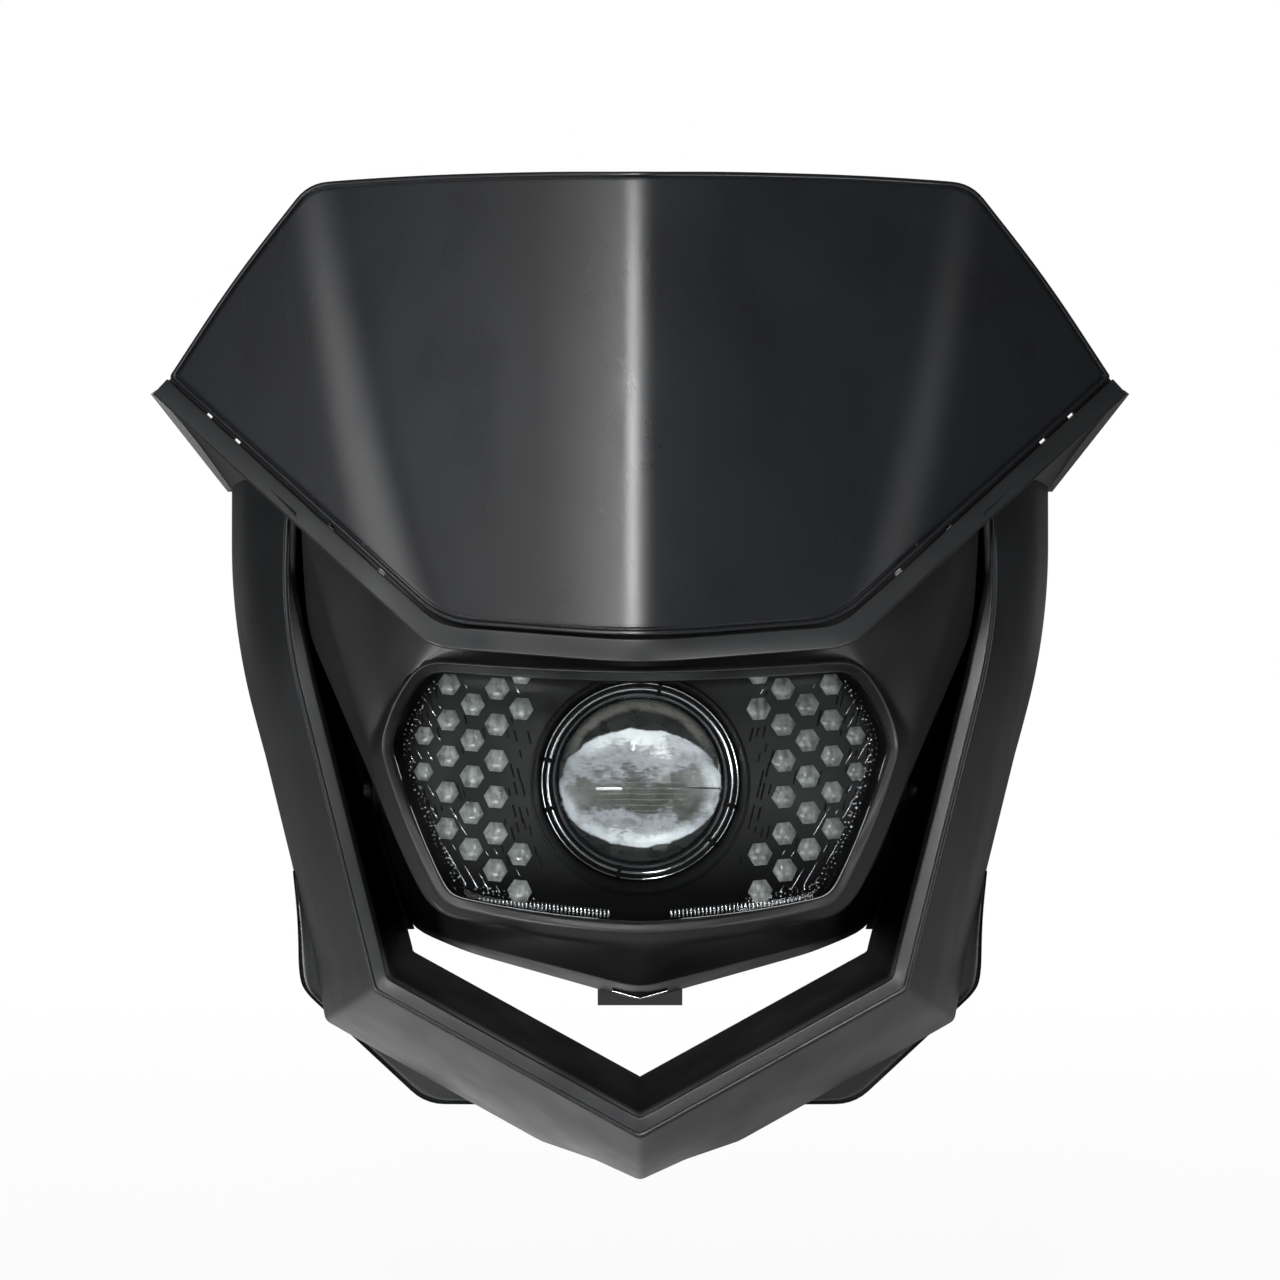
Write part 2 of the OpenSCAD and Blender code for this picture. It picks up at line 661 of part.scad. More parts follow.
// Point on an arc-like side between two corners, bulged by b at its middle
function bowed(a, b, k, bulge) = mix(a, b, k) - turned(unit(b - a)) * bulge * 4 * k * (1 - k);
open_half_path = concat(
    [for (k = [0 : 4]) [open_top_half * 0.94 * k / 4, open_top_z + open_top_rise * 0.9 * pow(k / 4, 1.6)]],
    [open_top_corner - [1, 0.6]],
    [for (k = [0 : 3]) bowed(open_top_corner + [1.5, -2.5], open_side, k / 4, 1.4)],
    [for (k = [0 : 5]) bowed(open_side, open_low_corner + [1, 1.6], k / 6, 1.2)],
    [open_low_corner + [1, 1.6], open_low_corner + [-1.2, -0.8]],
    [for (k = [1 : 4]) mix(open_low_corner + [-2, -0.9], [0, open_low_z], k / 5)
        - [0, 2.2 * (k / 5) * (1 - k / 5) * 2]]);
open_path = concat(open_half_path, [[0, open_low_z]],
    [for (p = reversed(tail(open_half_path))) [-p[0], p[1]]]);
open_count = len(open_path);

function sweep_term(x, sweep) = sweep * pow(x / open_half, 2);
// Depth of the raked plane of the opening
function open_at(p) = open_depth + tan(open_rake) * (p[1] - open_low_z) + sweep_term(p[0], open_sweep);
// Depth of the rim, which leans far less
function rim_at(p) = rim_depth + 0.025 * (p[1] - open_low_z) + sweep_term(p[0], rim_sweep);
rim_path = grown(open_path, rim_w);

// The shroud behind the rim: from its shoulder to its edge, and back to its rear edge.
// Each key is placed at a share of the way round the half outline.
// Height and depth of the line just behind the band's lip, across the front
function under_band(x) = let (
        n = 1 / cos(atan((plate_low(x + 1) - plate_low(x - 1)) / 2)),
        down = groove + band_w - frame_t * 0.4)
    [plate_low(x) - down * n, plate_depth(x, plate_low(x)) + band_lip - 1 + seat_gap];
cheek_play = seat_gap + 0.3;
cheek_z = [arm_top_z - 13, 3];
cheek_depth = [for (z = cheek_z) crease_depth(z) + strip_drop];
cheek_x = [for (i = [0, 1]) wall_x(cheek_z[i], cheek_depth[i]) - cheek_play];
rear_x = [for (z = cheek_z) wall_x(z, recess_depth) - cheek_play];
top_x = [0, open_top_half - 2, open_top_half + 12, cheek_x[0]];
top_line = [for (x = top_x) under_band(x)];
shroud_keys = [
    // share, shoulder growth, shoulder set-back, edge x, edge z, edge depth, rear x, rear z, rear depth
    [0, 0.2, 4, top_x[0], top_line[0][0], top_line[0][1] + 1, 0, top_line[0][0] + 6, 36],
    [0.36, 0.2, 4, top_x[1], top_line[1][0], top_line[1][1], top_x[1] + 2, top_line[1][0] + 4, 54],
    [0.42, 1.2, 5, top_x[2], top_line[2][0], top_line[2][1], top_x[2] - 2, top_line[2][0] - 0.5,
        recess_depth],
    [0.47, 3.5, 3.8, top_x[3], top_line[3][0], top_line[3][1], rear_x[0], cheek_z[0] - 1, recess_depth],
    [0.52, 4, 3.8, cheek_x[1], cheek_z[1], cheek_depth[1], rear_x[1], cheek_z[1] - 1, recess_depth],
    [0.6, 4, 3.8, cheek_mid_half, -20, 38, cheek_mid_half + 1.5, -21, recess_depth],
    [0.67, 4, 3.8, open_half + 4.5, -42, 31, open_half + 8, -43, recess_depth],
    [0.74, 3.6, 3.8, open_half + 2, -66, 40, open_half + 5, -66, recess_depth - 1],
    [0.795, 1.8, 4, 64.4, chin_z + 13.5, 50, chin_half, chin_low_z + 20, chin_low_depth + 16],
    [0.84, 3, 4, 52, mix(chin_z, chin_z + 13, 0.82), 42, 52, mix(chin_low_z, chin_low_z + 20, 0.66),
        chin_low_depth + 11],
    [1, 3.5, 4, 0, chin_z, chin_depth, 0, chin_low_z, chin_low_depth]];
function key_value(share, c) = lookup(share, [for (key = shroud_keys) [key[0], key[c]]]);
function shroud_row(i) = let (
        half = open_count / 2,
        share = (i <= half ? i : open_count - i) / half,
        s = i <= half ? 1 : -1,
        r = rim_path[i],
        n = closed_normal(rim_path, i),
        shoulder = r - n * key_value(share, 1))
    [[shoulder[0], rim_at(r) + key_value(share, 2), shoulder[1]],
        mix([shoulder[0], rim_at(r) + key_value(share, 2), shoulder[1]],
            [s * key_value(share, 3), key_value(share, 5), key_value(share, 4)], 0.85),
        [s * key_value(share, 3), key_value(share, 5), key_value(share, 4)],
        mix([s * key_value(share, 3), key_value(share, 5), key_value(share, 4)],
            [s * key_value(share, 6), key_value(share, 8), key_value(share, 7)], 0.2),
        [s * key_value(share, 6), key_value(share, 8), key_value(share, 7)]];
shroud_rows = [for (i = [0 : open_count - 1]) shroud_row(i)];
// The top of the shroud is solid behind the rim, and the rest is hollow
function hollow(i) = clamp01((min(i, open_count - i) / (open_count / 2) - 0.38) / 0.06);
function shroud_section(i) = let (
        p = open_path[i],
        r = rim_path[i],
        s = shroud_rows[i],
        o = [p[0], open_at(p) + shroud_t, p[1]],
        inside = [for (j = [0 : 4]) s[j] - grid_normal(shroud_rows, i, j, true) * shroud_t],
        c = mix(p, r, 0.55),
        low = [c[0], max(rim_at(r) + shroud_t + 1, open_at(p) + shroud_t), c[1]])
    concat([o, [p[0], open_at(p), p[1]], [mix(p, r, 0.3)[0], rim_at(r) + 0.5, mix(p, r, 0.3)[1]],
            [mix(p, r, 0.7)[0], rim_at(r), mix(p, r, 0.7)[1]], [r[0], rim_at(r) + 1, r[1]]], s,
        [inside[4], inside[3]],
        [for (j = [2, 1, 0]) mix(mix(inside[3], o, (3 - j) / 4), inside[j], hollow(i))],
        [mix(mix(inside[3], o, 0.9), low, hollow(i))]);

module shroud_shell() {
    ring_loft([for (i = [0 : open_count - 1]) shroud_section(i)]);
}

// Floor of the dark recess between the cheek and the inner wall of the arm
recess_zs = [arm_top_z - 17, 10, -6, -22, -38, -54, -70, chin_low_z + 19.5];
function shroud_rear_x(z) = lookup(z, [for (key = reversed(shroud_keys)) if (key[0] > 0.46 && key[0] < 0.8)
    [key[7], key[6]]]);
module recess_floor() {
    outer = [for (z = recess_zs) [wall_x(z, recess_depth) - seat_gap - 0.6, z]];
    inner = [for (z = reversed(recess_zs)) [min(wall_x(z, recess_depth) - 2.4, shroud_rear_x(z) - 1.1), z]];
    for (s = [0, 1]) mirror([s, 0, 0])
        plate_between(recess_depth - shroud_t - 0.8, recess_depth - 0.8) polygon(concat(outer, inner));
}

bush_r = pivot_d / 2 + pivot_play + bush_wall;
bush_x = open_half + 2.5;
bush_len = 5;
ear_x = bush_x - seat_gap - 3.2;
tilt_shift = sin(tilt_max) * (pivot_z - tongue_z);
tongue_front = chin_low_depth + tongue_gap + tilt_shift;
aim_slot = tilt_shift + 0.4;
aim_play = 0.4;
aim_depth = tongue_front + 1.5 + aim_d * 0.95 + aim_play + aim_slot;
head_h = 1.6;
washer_t = 0.6;
tongue_lift = 0.9;
pocket_z = tongue_z + tongue_t * 0.64;
aim_pad_z = tongue_z + tongue_t + tongue_lift;
aim_pad_back = aim_depth + aim_d / 2 + 2;
leg_front = aim_pad_back + tilt_shift + 1;
leg_t = 9;

module pivot_boss(s) {
    difference() {
        hull() {
            translate([s * (bush_x + bush_len / 2), pivot_depth, pivot_z])
                rotate([0, 90, 0]) cylinder(r = bush_r + 2.5, h = bush_len, center = true, $fn = 24);
            translate([s * (bush_x + bush_len / 2 + 2), pivot_depth + 8, pivot_z])
                cube([bush_len, 6, bush_r * 2 + 6], center = true);
        }
        translate([s * (bush_x + bush_len / 2), pivot_depth, pivot_z])
            rotate([0, 90, 0]) cylinder(r = bush_r + 0.15, h = bush_len * 4, center = true, $fn = 32);
        translate([s * (bush_x + bush_len + 5), pivot_depth, pivot_z])
            rotate([0, 90, 0]) cylinder(r = pivot_d + 0.5, h = 10, center = true, $fn = 24);
    }
}

module lamp_shroud() {
    color("#26282a") placed() difference() {
        union() {
            difference() {
                union() {
                    shroud_shell();
                    recess_floor();
                }
                // Room for the pivots
                for (s = [-1, 1]) {
                    translate([s * (bush_x + bush_len / 2), pivot_depth, pivot_z]) rotate([0, 90, 0])
                        cylinder(r = bush_r + 1.1, h = bush_len * 4, center = true, $fn = 24);
                }
            }
            for (s = [-1, 1]) pivot_boss(s);
            // Pad for the aiming screw
            hull() {
                for (x = [-12, 12]) rod(3, chin_low_depth - 3, aim_pad_back, x, aim_pad_z + 3, $fn = 20);
            }
            // Bosses for the screws that hold the shroud
            for (s = [-1, 1]) for (p = shroud_fix) {
                hull() {
                    rod(3, recess_depth - 7, recess_depth - 2, s * p[0], p[1], $fn = 20);
                    rod(4, recess_depth - 4, recess_depth, s * p[0], p[1], $fn = 20);
                }
            }
        }
        translate([0, aim_depth, aim_pad_z - 1]) cylinder(r = aim_d / 2 + 0.15, h = 14, $fn = 20);
        // Small slot in the chin
        hull() {
            for (s = [-1, 0, 1]) {
                translate([s * chin_slot_w / 2, chin_low_depth - 7 - abs(s) * 1.5, chin_low_z + 1])
                    cube([1.3, 2.1, 8], center = true);
            }
        }
        for (s = [-1, 1]) for (p = shroud_fix) {
            rod(small_screw_d / 2 + 0.15, recess_depth - 5, recess_depth + 6, s * p[0], p[1], $fn = 16);
        }
    }
}

// Screws that hold the shroud on the lugs of the frame
module shroud_screws() {
    color("#6b6e72") placed() for (s = [-1, 1]) for (p = shroud_fix) {
        rod(3, lug_front + lug_t, lug_front + lug_t + 2, s * p[0], p[1]);
        rod(small_screw_d / 2, recess_depth - 4.5, lug_front + lug_t + 0.1, s * p[0], p[1]);
    }
}

// Brackets that carry the mask on the fork
sleeve_r = mount_hole_d / 2 + sleeve_wall;
sleeve_flange = 1.6;
sleeve_flange_t = 1.2;
module bracket(s) {
    color("#3a3c3f") placed() difference() {
        plate_between(boss_back, bracket_back) {
            translate([s * bracket_x, 0]) hull() {
                for (z = [-1, 1]) translate([0, z * (bracket_h - bracket_w) / 2]) circle(d = bracket_w);
            }
        }
        for (z = [-1, 1]) {
            rod(sleeve_r, boss_back - 1, bracket_back + 1, s * bracket_x, z * hole_span_z / 2);
        }
        for (z = boss_zs) rod(bracket_screw_bore, boss_back - 1, bracket_back + 1, s * boss_x, z);
    }
}
module bracket_left() { bracket(-1); }
module bracket_right() { bracket(1); }

// Metal sleeves in the mounting holes of the brackets
module bracket_sleeves() {
    color("#8d9094") placed() for (s = [-1, 1]) for (z = [-1, 1]) difference() {
        hole_z = z * hole_span_z / 2;
        union() {
            rod(sleeve_r, boss_back, mount_depth, s * bracket_x, hole_z);
            rod(sleeve_r + sleeve_flange, boss_back - sleeve_flange_t, boss_back, s * bracket_x, hole_z);
        }
        rod(mount_hole_d / 2, boss_back - 2, mount_depth + 1, s * bracket_x, hole_z);
    }
}

module bracket_screws() {
    color("#6b6e72") placed() for (s = [-1, 1]) for (z = boss_zs) difference() {
        union() {
            rod(bracket_screw_d * 0.85, bracket_back, bracket_back + bracket_screw_d * 0.55, s * boss_x, z);
            rod(bracket_screw_d / 2, boss_back - 12, bracket_back + 0.1, s * boss_x, z);
        }
        translate([s * boss_x, bracket_back + bracket_screw_d, z]) rotate([90, 0, 0])
            cylinder(r = bracket_screw_d * 0.36, h = bracket_screw_d * 0.8, $fn = 6);
    }
}

// Pivots of the lamp: bushes in the shroud, screws in the ears of the housing
module along_x(r, from, to) {
    translate([min(from, to), pivot_depth, pivot_z]) rotate([0, 90, 0]) cylinder(r = r, h = abs(to - from));
}
module pivot_bush(s) {
    color("#c9c5b8") placed() difference() {
        union() {
            along_x(bush_r, s * (bush_x - 0.5), s * (bush_x + bush_len));
            along_x(bush_r + 1.2, s * (bush_x - 1.2), s * bush_x);
        }
        along_x(pivot_d / 2 + pivot_play, s * (bush_x - 3), s * (bush_x + bush_len + 3));
    }
}
module pivot_bush_left() { pivot_bush(-1); }
module pivot_bush_right() { pivot_bush(1); }

module pivot_screw(s) {
    color("#6b6e72") placed() difference() {
        union() {
            along_x(pivot_d / 2, s * (ear_x - 6), s * (bush_x + bush_len + 0.5));
            along_x(pivot_d * 0.8, s * (bush_x + bush_len + 0.4), s * (bush_x + bush_len + 2.8));
        }
        translate([s * (bush_x + bush_len + 3), pivot_depth, pivot_z]) rotate([0, 90, 0])
            cylinder(r = pivot_d * 0.32, h = 3, center = true, $fn = 6);
    }
}
module pivot_screw_left() { pivot_screw(-1); }
module pivot_screw_right() { pivot_screw(1); }

// Screw that clamps the aiming tongue under the chin
module aim_screw() {
    washer_z = pocket_z - tongue_lift - washer_t;
    color("#6b6e72") placed() translate([0, aim_depth, washer_z]) {
        translate([0, 0, -head_h]) cylinder(r = aim_d * 0.8, h = head_h);
        translate([0, 0, -0.1]) cylinder(r = aim_d / 2, h = aim_pad_z - pocket_z + 9);
    }
}
module aim_washer() {
    color("#8d9094") placed() translate([0, aim_depth, pocket_z - tongue_lift - washer_t]) difference() {
        cylinder(r = aim_d * 0.95, h = washer_t);
        translate([0, 0, -1]) cylinder(r = aim_d / 2, h = washer_t + 2);
    }
}

// Clear cover of the lamp: a raked, swept front with a wall to the rear
lens_path = grown(open_path, lens_over);
lens_shrinks = [0, 0.03, 0.35, 0.7];
function lens_at(p, back) = [p[0], open_at(p) + back, p[1]];
open_mid = [0, (open_top_z + open_low_z) / 2];
module outer_lens() {
    inner_path = grown(lens_path, -lens_t);
    rows = [for (i = [0 : open_count - 1]) let (o = lens_path[i], n = inner_path[i])
        concat([[o[0], lens_back, o[1]], lens_at(o, lens_gap + 1.2)],
            [for (k = [0.02, 0.34, 0.67]) lens_at(mix(o, open_mid, k), lens_gap)],
            [for (k = [0.67, 0.34, 0]) lens_at(mix(n, open_mid, k), lens_gap + lens_t)],
            [[n[0], lens_back, n[1]]])];
    m = len(rows[0]);
    n = open_count;
    front = 4;
    points = concat(flat(rows), [lens_at(open_mid, lens_gap), lens_at(open_mid, lens_gap + lens_t)]);
    sides = [for (i = [0 : n - 1]) for (j = [0 : m - 1]) if (j != front)
        let (k = (j + 1) % m, o = (i + 1) % n)
        each [[i * m + j, i * m + k, o * m + k], [i * m + j, o * m + k, o * m + j]]];
    poles = [for (i = [0 : n - 1]) let (o = (i + 1) % n)
        each [[i * m + front, n * m, o * m + front], [i * m + front + 1, o * m + front + 1, n * m + 1]]];
    color("#d8dde0", 0.35) placed() closed_solid(points, concat(sides, poles));
}

module lens_gasket() {
    color("#151515") placed() difference() {
        plate_between(lens_back, lens_back + gasket_t) polygon(lens_path);
        plate_between(lens_back - 1, lens_back + gasket_t + 1) polygon(grown(lens_path, -lens_t));
    }
}

// Inner bezel with hexagonal windows and the funnel of the projector
funnel_r = funnel_d / 2;
funnel_back = glass_depth + glass_dome - 1;
bezel_path = grown(open_path, lens_over - lens_t - 0.5);
module surface_slab(path, near, thick) {
    inner = [for (k = [0, 0.3, 0.65]) [for (p = path) mix(p, open_mid, k)]];
    n = len(path);
    front = flat([for (ring = inner) [for (p = ring) lens_at(p, near)]]);
    back = [for (p = front) p + [0, thick, 0]];
    m = len(front);
    points = concat(front, back, [lens_at(open_mid, near), lens_at(open_mid, near + thick)]);
    skin = [for (r = [0 : 1]) for (i = [0 : n - 1]) let (o = (i + 1) % n, a = r * n + i, b = r * n + o)
        each [[a, b + n, a + n], [a, b, b + n], [m + a, m + a + n, m + b + n], [m + a, m + b + n, m + b]]];
    edge = [for (i = [0 : n - 1]) let (o = (i + 1) % n) each [[i, m + o, o], [i, m + i, m + o]]];
    poles = [for (i = [0 : n - 1]) let (o = (i + 1) % n, a = 2 * n + i, b = 2 * n + o)
        each [[a, b, 2 * m], [m + a, 2 * m + 1, m + b]]];
    closed_solid(points, concat(skin, edge, poles));
}

hex_rows = [[-1, 0, 4, 5], [0, 1, 2, 3, 4, 5], [0, 1, 2, 3, 4], [0, 1, 2, 3, 4], [1, 2]];
hex_points = [for (k = [0 : len(hex_rows) - 1]) for (j = hex_rows[k])
    [hex_first + hex_pitch_x * k,
        hex_top_z - hex_pitch_z * (j + (k % 2 == 0 ? 0.5 : 0)) - hex_drop * (3 - k),
        hex_r - hex_taper * pow(max(k - 2, 0), 2)]];
module hex_prism(p, s, shrink, near, far) {
    depth = open_at(p);
    translate([s * p[0], depth + far, p[1]]) rotate([90, 0, 0])
        cylinder(r = p[2] - shrink, h = far - near, $fn = 6);
}

module inner_bezel() {
    color("#17181a") placed() difference() {
        union() {
            surface_slab(bezel_path, bezel_gap, bezel_t);
            intersection() {
                rod(funnel_r + 1.8, glass_depth - 12, funnel_back, 0, beam_z);
                surface_slab(bezel_path, bezel_gap, 30);
            }
        }
        rod(funnel_r, glass_depth - 14, funnel_back - 1.6, 0, beam_z);
        rod(glass_d / 2 + ring_w + 0.5, glass_depth - 14, funnel_back + 2, 0, beam_z);
        for (p = hex_points) for (s = [-1, 1]) {
            hull() hex_prism(p, s, 0, bezel_gap - 3, bezel_gap + bezel_t + 3);
        }
    }
}

// Milky diffusers: a plate with a raised hexagon in each window
function side_path() = [[hex_first - 5.2, -21], [hex_first - 5.2, -9.5 - hex_drop], [open_half - 12, -8.5],
    [open_half - 5.5, -20], [open_half - 4.2, -34], [open_half - 8, -48], [open_half - 16.5, -66],
    [hex_first - 7.5, -74.5], [hex_first - 7.5, -62], [hex_first + 3.2, -52], [hex_first + 3.2, -31]];
module hex_diffuser(s) {
    color("#cfd2d4") placed() {
        difference() {
            intersection() {
                surface_slab(grown(bezel_path, -0.4), bezel_gap + bezel_t + 0.15, diffuser_t);
                plate_between(5, 50) polygon([for (p = side_path()) [s * p[0], p[1]]]);
            }
            rod(funnel_r + 2.2, 5, 50, 0, beam_z);
        }
        intersection() {
            plate_between(5, 50) polygon(grown(bezel_path, -0.85));
            union() {
                for (p = hex_points) {
                    hull() hex_prism(p, s, 0.12, bezel_gap + 0.4, bezel_gap + bezel_t + 0.15 + diffuser_t);
                }
            }
        }
    }
}
module hex_diffuser_left() { hex_diffuser(-1); }
module hex_diffuser_right() { hex_diffuser(1); }

// Boards of the position light behind the diffusers, flat and tilted
board_mid = [hex_first + hex_pitch_x * 2, open_mid_z - 9];
board_tilt = atan(2 * open_sweep * board_mid[0] / (open_half * open_half));
board_depth = open_at(board_mid) + bezel_gap + bezel_t + diffuser_t + 4.5;
module on_board(s) {
    mirror([s < 0 ? 1 : 0, 0, 0]) translate([board_mid[0], board_depth, board_mid[1]])
        rotate([0, 0, board_tilt]) rotate([-open_rake, 0, 0]) children();
}
board_outline = [[-17.5, 30], [8, 31], [17, 20], [19.5, 8], [16, -8], [8, -28], [-16, -33],
    [-16, -24], [-9, -16], [-7, 8], [-17.5, 15]];
module position_board(s) {
    color("#1d4a33") placed() difference() {
        intersection() {
            on_board(s) plate_between(0, board_t) polygon(board_outline);
            plate_between(5, housing_back) polygon(grown(cavity_path, -seat_gap));
        }
        rod(funnel_r + 2.6, 5, 60, 0, beam_z);
    }
}
module position_board_left() { position_board(-1); }
module position_board_right() { position_board(1); }

module position_lights() {
    color("#f2e9b8") placed() for (s = [-1, 1]) for (p = hex_points) {
        u = (p[0] - board_mid[0]) / cos(board_tilt);
        v = min(p[1], open_top_z - chip_w) - board_mid[1];
        on_board(s) translate([u - chip_w / 2, -0.8, v - chip_w / 2]) cube([chip_w, 0.8, chip_w]);
    }
}

// Turns a half profile of radius and depth round the projector axis
module spun(profile, angle = 360) {
    translate([0, 0, beam_z]) rotate([-90, 0, 0]) rotate([0, 0, angle < 360 ? 180 : 0])
        rotate_extrude(angle = angle) polygon(profile);
}
glass_back = glass_depth + glass_dome + glass_edge;
dome_r = (glass_d * glass_d / 4 + glass_dome * glass_dome) / (2 * glass_dome);
module projector_lens() {
    color("#c5cbd0", 0.5) placed() intersection() {
        translate([0, glass_depth + dome_r, beam_z]) sphere(r = dome_r);
        rod(glass_d / 2, glass_depth - 1, glass_back, 0, beam_z);
    }
}

ring_front = glass_depth + glass_dome - 2.4;
barrel_r = glass_d / 2 + 0.1;
lens_seat_t = 2.5;
lens_seat_w = 2.4;
bowl_r = barrel_r - bowl_t - seat_gap;
module lens_ring() {
    color("#2e3033") placed() difference() {
        union() {
            spun([[glass_d / 2 - 1, ring_front], [glass_d / 2 + ring_w, ring_front],
                [glass_d / 2 + ring_w, ring_front + 1.4], [glass_d / 2 + ring_w - 0.6, ring_front + 2],
                [glass_d / 2 - 0.2, ring_front + 2]]);
        }
        for (k = [0 : ring_clips - 1]) {
            translate([0, 0, beam_z]) rotate([0, 90 + k * 360 / ring_clips, 0])
                translate([glass_d / 2 + ring_w - 0.8, ring_front - 1, -1.5]) cube([2, 2, 3]);
        }
    }
}

barrel_front = ring_front + 2;
barrel_back = glass_back + barrel_len;
module lens_barrel() {
    color("#3b3d40") placed() difference() {
        union() {
            spun([[barrel_r, barrel_front], [barrel_r + barrel_t, barrel_front],
                [barrel_r + barrel_t, barrel_back], [barrel_r, barrel_back],
                [barrel_r, glass_back + lens_seat_t], [barrel_r - lens_seat_w, glass_back + lens_seat_t],
                [barrel_r - lens_seat_w, glass_back + 0.05], [barrel_r, glass_back + 0.05]]);
            for (a = [45, 135, 225, 315]) translate([0, 0, beam_z]) rotate([0, a, 0])
                translate([barrel_r + barrel_t - 1, barrel_back - 3, -4]) cube([8, 3, 8]);
        }
        for (a = [45, 135, 225, 315]) translate([0, 0, beam_z]) rotate([0, a, 0])
            translate([barrel_r + barrel_t + 3.4, barrel_back + 1, 0]) rotate([90, 0, 0])
                cylinder(r = small_screw_d / 2 + 0.1, h = 6);
    }
}
module projector_screws() {
    color("#8d9094") placed() for (a = [45, 135, 225, 315]) translate([0, 0, beam_z]) rotate([0, a, 0])
        translate([barrel_r + barrel_t + 3.4, 0, 0]) {
            translate([0, barrel_back - 3, 0]) rotate([90, 0, 0]) cylinder(r = small_screw_d * 0.85, h = 2);
            translate([0, barrel_back + 5, 0]) rotate([90, 0, 0]) cylinder(r = small_screw_d / 2, h = 8.1);
        }
}

// Reflector over the emitter: half of an ellipsoid, open to the front
bowl_front = barrel_back - bowl_len + 14;
function bowl_r_at(k, t) = [(bowl_r + t) * sqrt(max(1 - k * k, 0)), k * (bowl_len + t)];
module reflector_bowl() {
    outer = [for (k = [0 : 0.1 : 1.001]) let (q = bowl_r_at(sin(k * 90), bowl_t)) [max(q[0], 0), q[1]]];
    inner = [for (k = [1 : -0.1 : -0.001]) let (q = bowl_r_at(sin(k * 90), 0)) [max(q[0], 0), q[1]]];
    color("#d6d9dc") placed() translate([0, bowl_front, 0]) difference() {
        spun(concat(outer, inner));
        translate([-bowl_r * 2, -bowl_len, beam_z - bowl_r * 2 + emitter_t])
            cube([bowl_r * 4, bowl_len * 3, bowl_r * 2]);
    }
}
emitter_t = 1;
emitter_depth = bowl_front + bowl_len * 0.62;

module cutoff_shutter() {
    color("#4a4d50") placed() difference() {
        plate_between(bowl_front - 3, bowl_front - 2) translate([0, beam_z]) polygon([[-21, -9], [21, -9],
            [21, 0], [2, 0], [-2, -1.2], [-21, -1.2]]);
    }
}

shelf_top = beam_z - board_t;
emitter_board_half = 11;
module emitter_board() {
    color("#e6e6e0") placed()
        translate([-emitter_board_half, emitter_depth - emitter_board_half, shelf_top])
        cube([emitter_board_half * 2, emitter_board_half * 2, board_t]);
}
module light_emitter() {
    color("#f4d35a") placed() translate([-emitter_w / 2, emitter_depth - emitter_w / 2, beam_z])
        cube([emitter_w, emitter_w, emitter_t]);
}

// Heat sink: shelf under the emitter, base outside the rear wall and fins
sink_front = housing_back;
sink_face = sink_front + sink_base;
shelf_half = 19;
shelf_t = 4;
module at_sink_bolts() {
    for (s = [-1, 1]) for (z = [-1, 1])
        translate([s * sink_bolt_x, 0, beam_z + z * sink_bolt_z]) children();
}
module heat_sink() {
    color("#7d8084") placed() difference() {
        union() {
            translate([-sink_half, sink_front, beam_z - sink_h / 2])
                cube([sink_half * 2, sink_base, sink_h]);
            translate([-shelf_half, bowl_front - 2, shelf_top - shelf_t])
                cube([shelf_half * 2, sink_front - bowl_front + 2.5, shelf_t]);
            for (i = [0 : fin_count - 1]) {
                x = mix(-sink_half + fin_t / 2, sink_half - fin_t / 2, i / (fin_count - 1));
                translate([x - fin_t / 2, sink_face - 0.5, beam_z - sink_h / 2])
                    cube([fin_t, fin_len + 0.5, sink_h]);
            }
        }
        at_sink_bolts() {
            rod(small_screw_d / 2 + 0.1, sink_front - 1, sink_face + 1, 0, 0);
            rod(small_screw_d + 0.4, sink_face, sink_face + fin_len + 1, 0, 0);
        }
    }
}
sink_bolt_x = sink_half - 5;
sink_bolt_z = sink_h / 2 - 5;
module heat_sink_screws() {
    color("#6b6e72") placed() at_sink_bolts() {
        rod(small_screw_d * 0.9, sink_face, sink_face + 2, 0, 0);
        rod(small_screw_d / 2, sink_front - 1.6, sink_face + 0.1, 0, 0);
    }
}

// Rear housing with its flange, ears and aiming tongue
flange_front = lens_back + gasket_t;
body_path = grown(lens_path, -housing_inset);
cavity_path = grown(lens_path, -housing_inset - housing_t);
vent_at = [-46, -24];
socket_at = [46, -30];
driver_at = [-50, -46];
driver_w = 28;
driver_h = 32;
driver_wall = 2;
driver_room = 6;
cover_front = housing_back + driver_room;
vent_bore = 2.5;
socket_w = 22;
socket_h = 15;
socket_t = 2;
socket_len = 16;
socket_port = [12, 8];
cover_t = 2;
cover_boss_r = 2.6;
cover_bolts = [for (k = [-1, 1]) driver_at
    + k * [driver_w / 2 - driver_wall - cover_boss_r + 1, driver_h / 2 - driver_wall - cover_boss_r + 1]];
module driver_square(inset) {
    translate(driver_at) square([driver_w - 2 * inset, driver_h - 2 * inset], center = true);
}
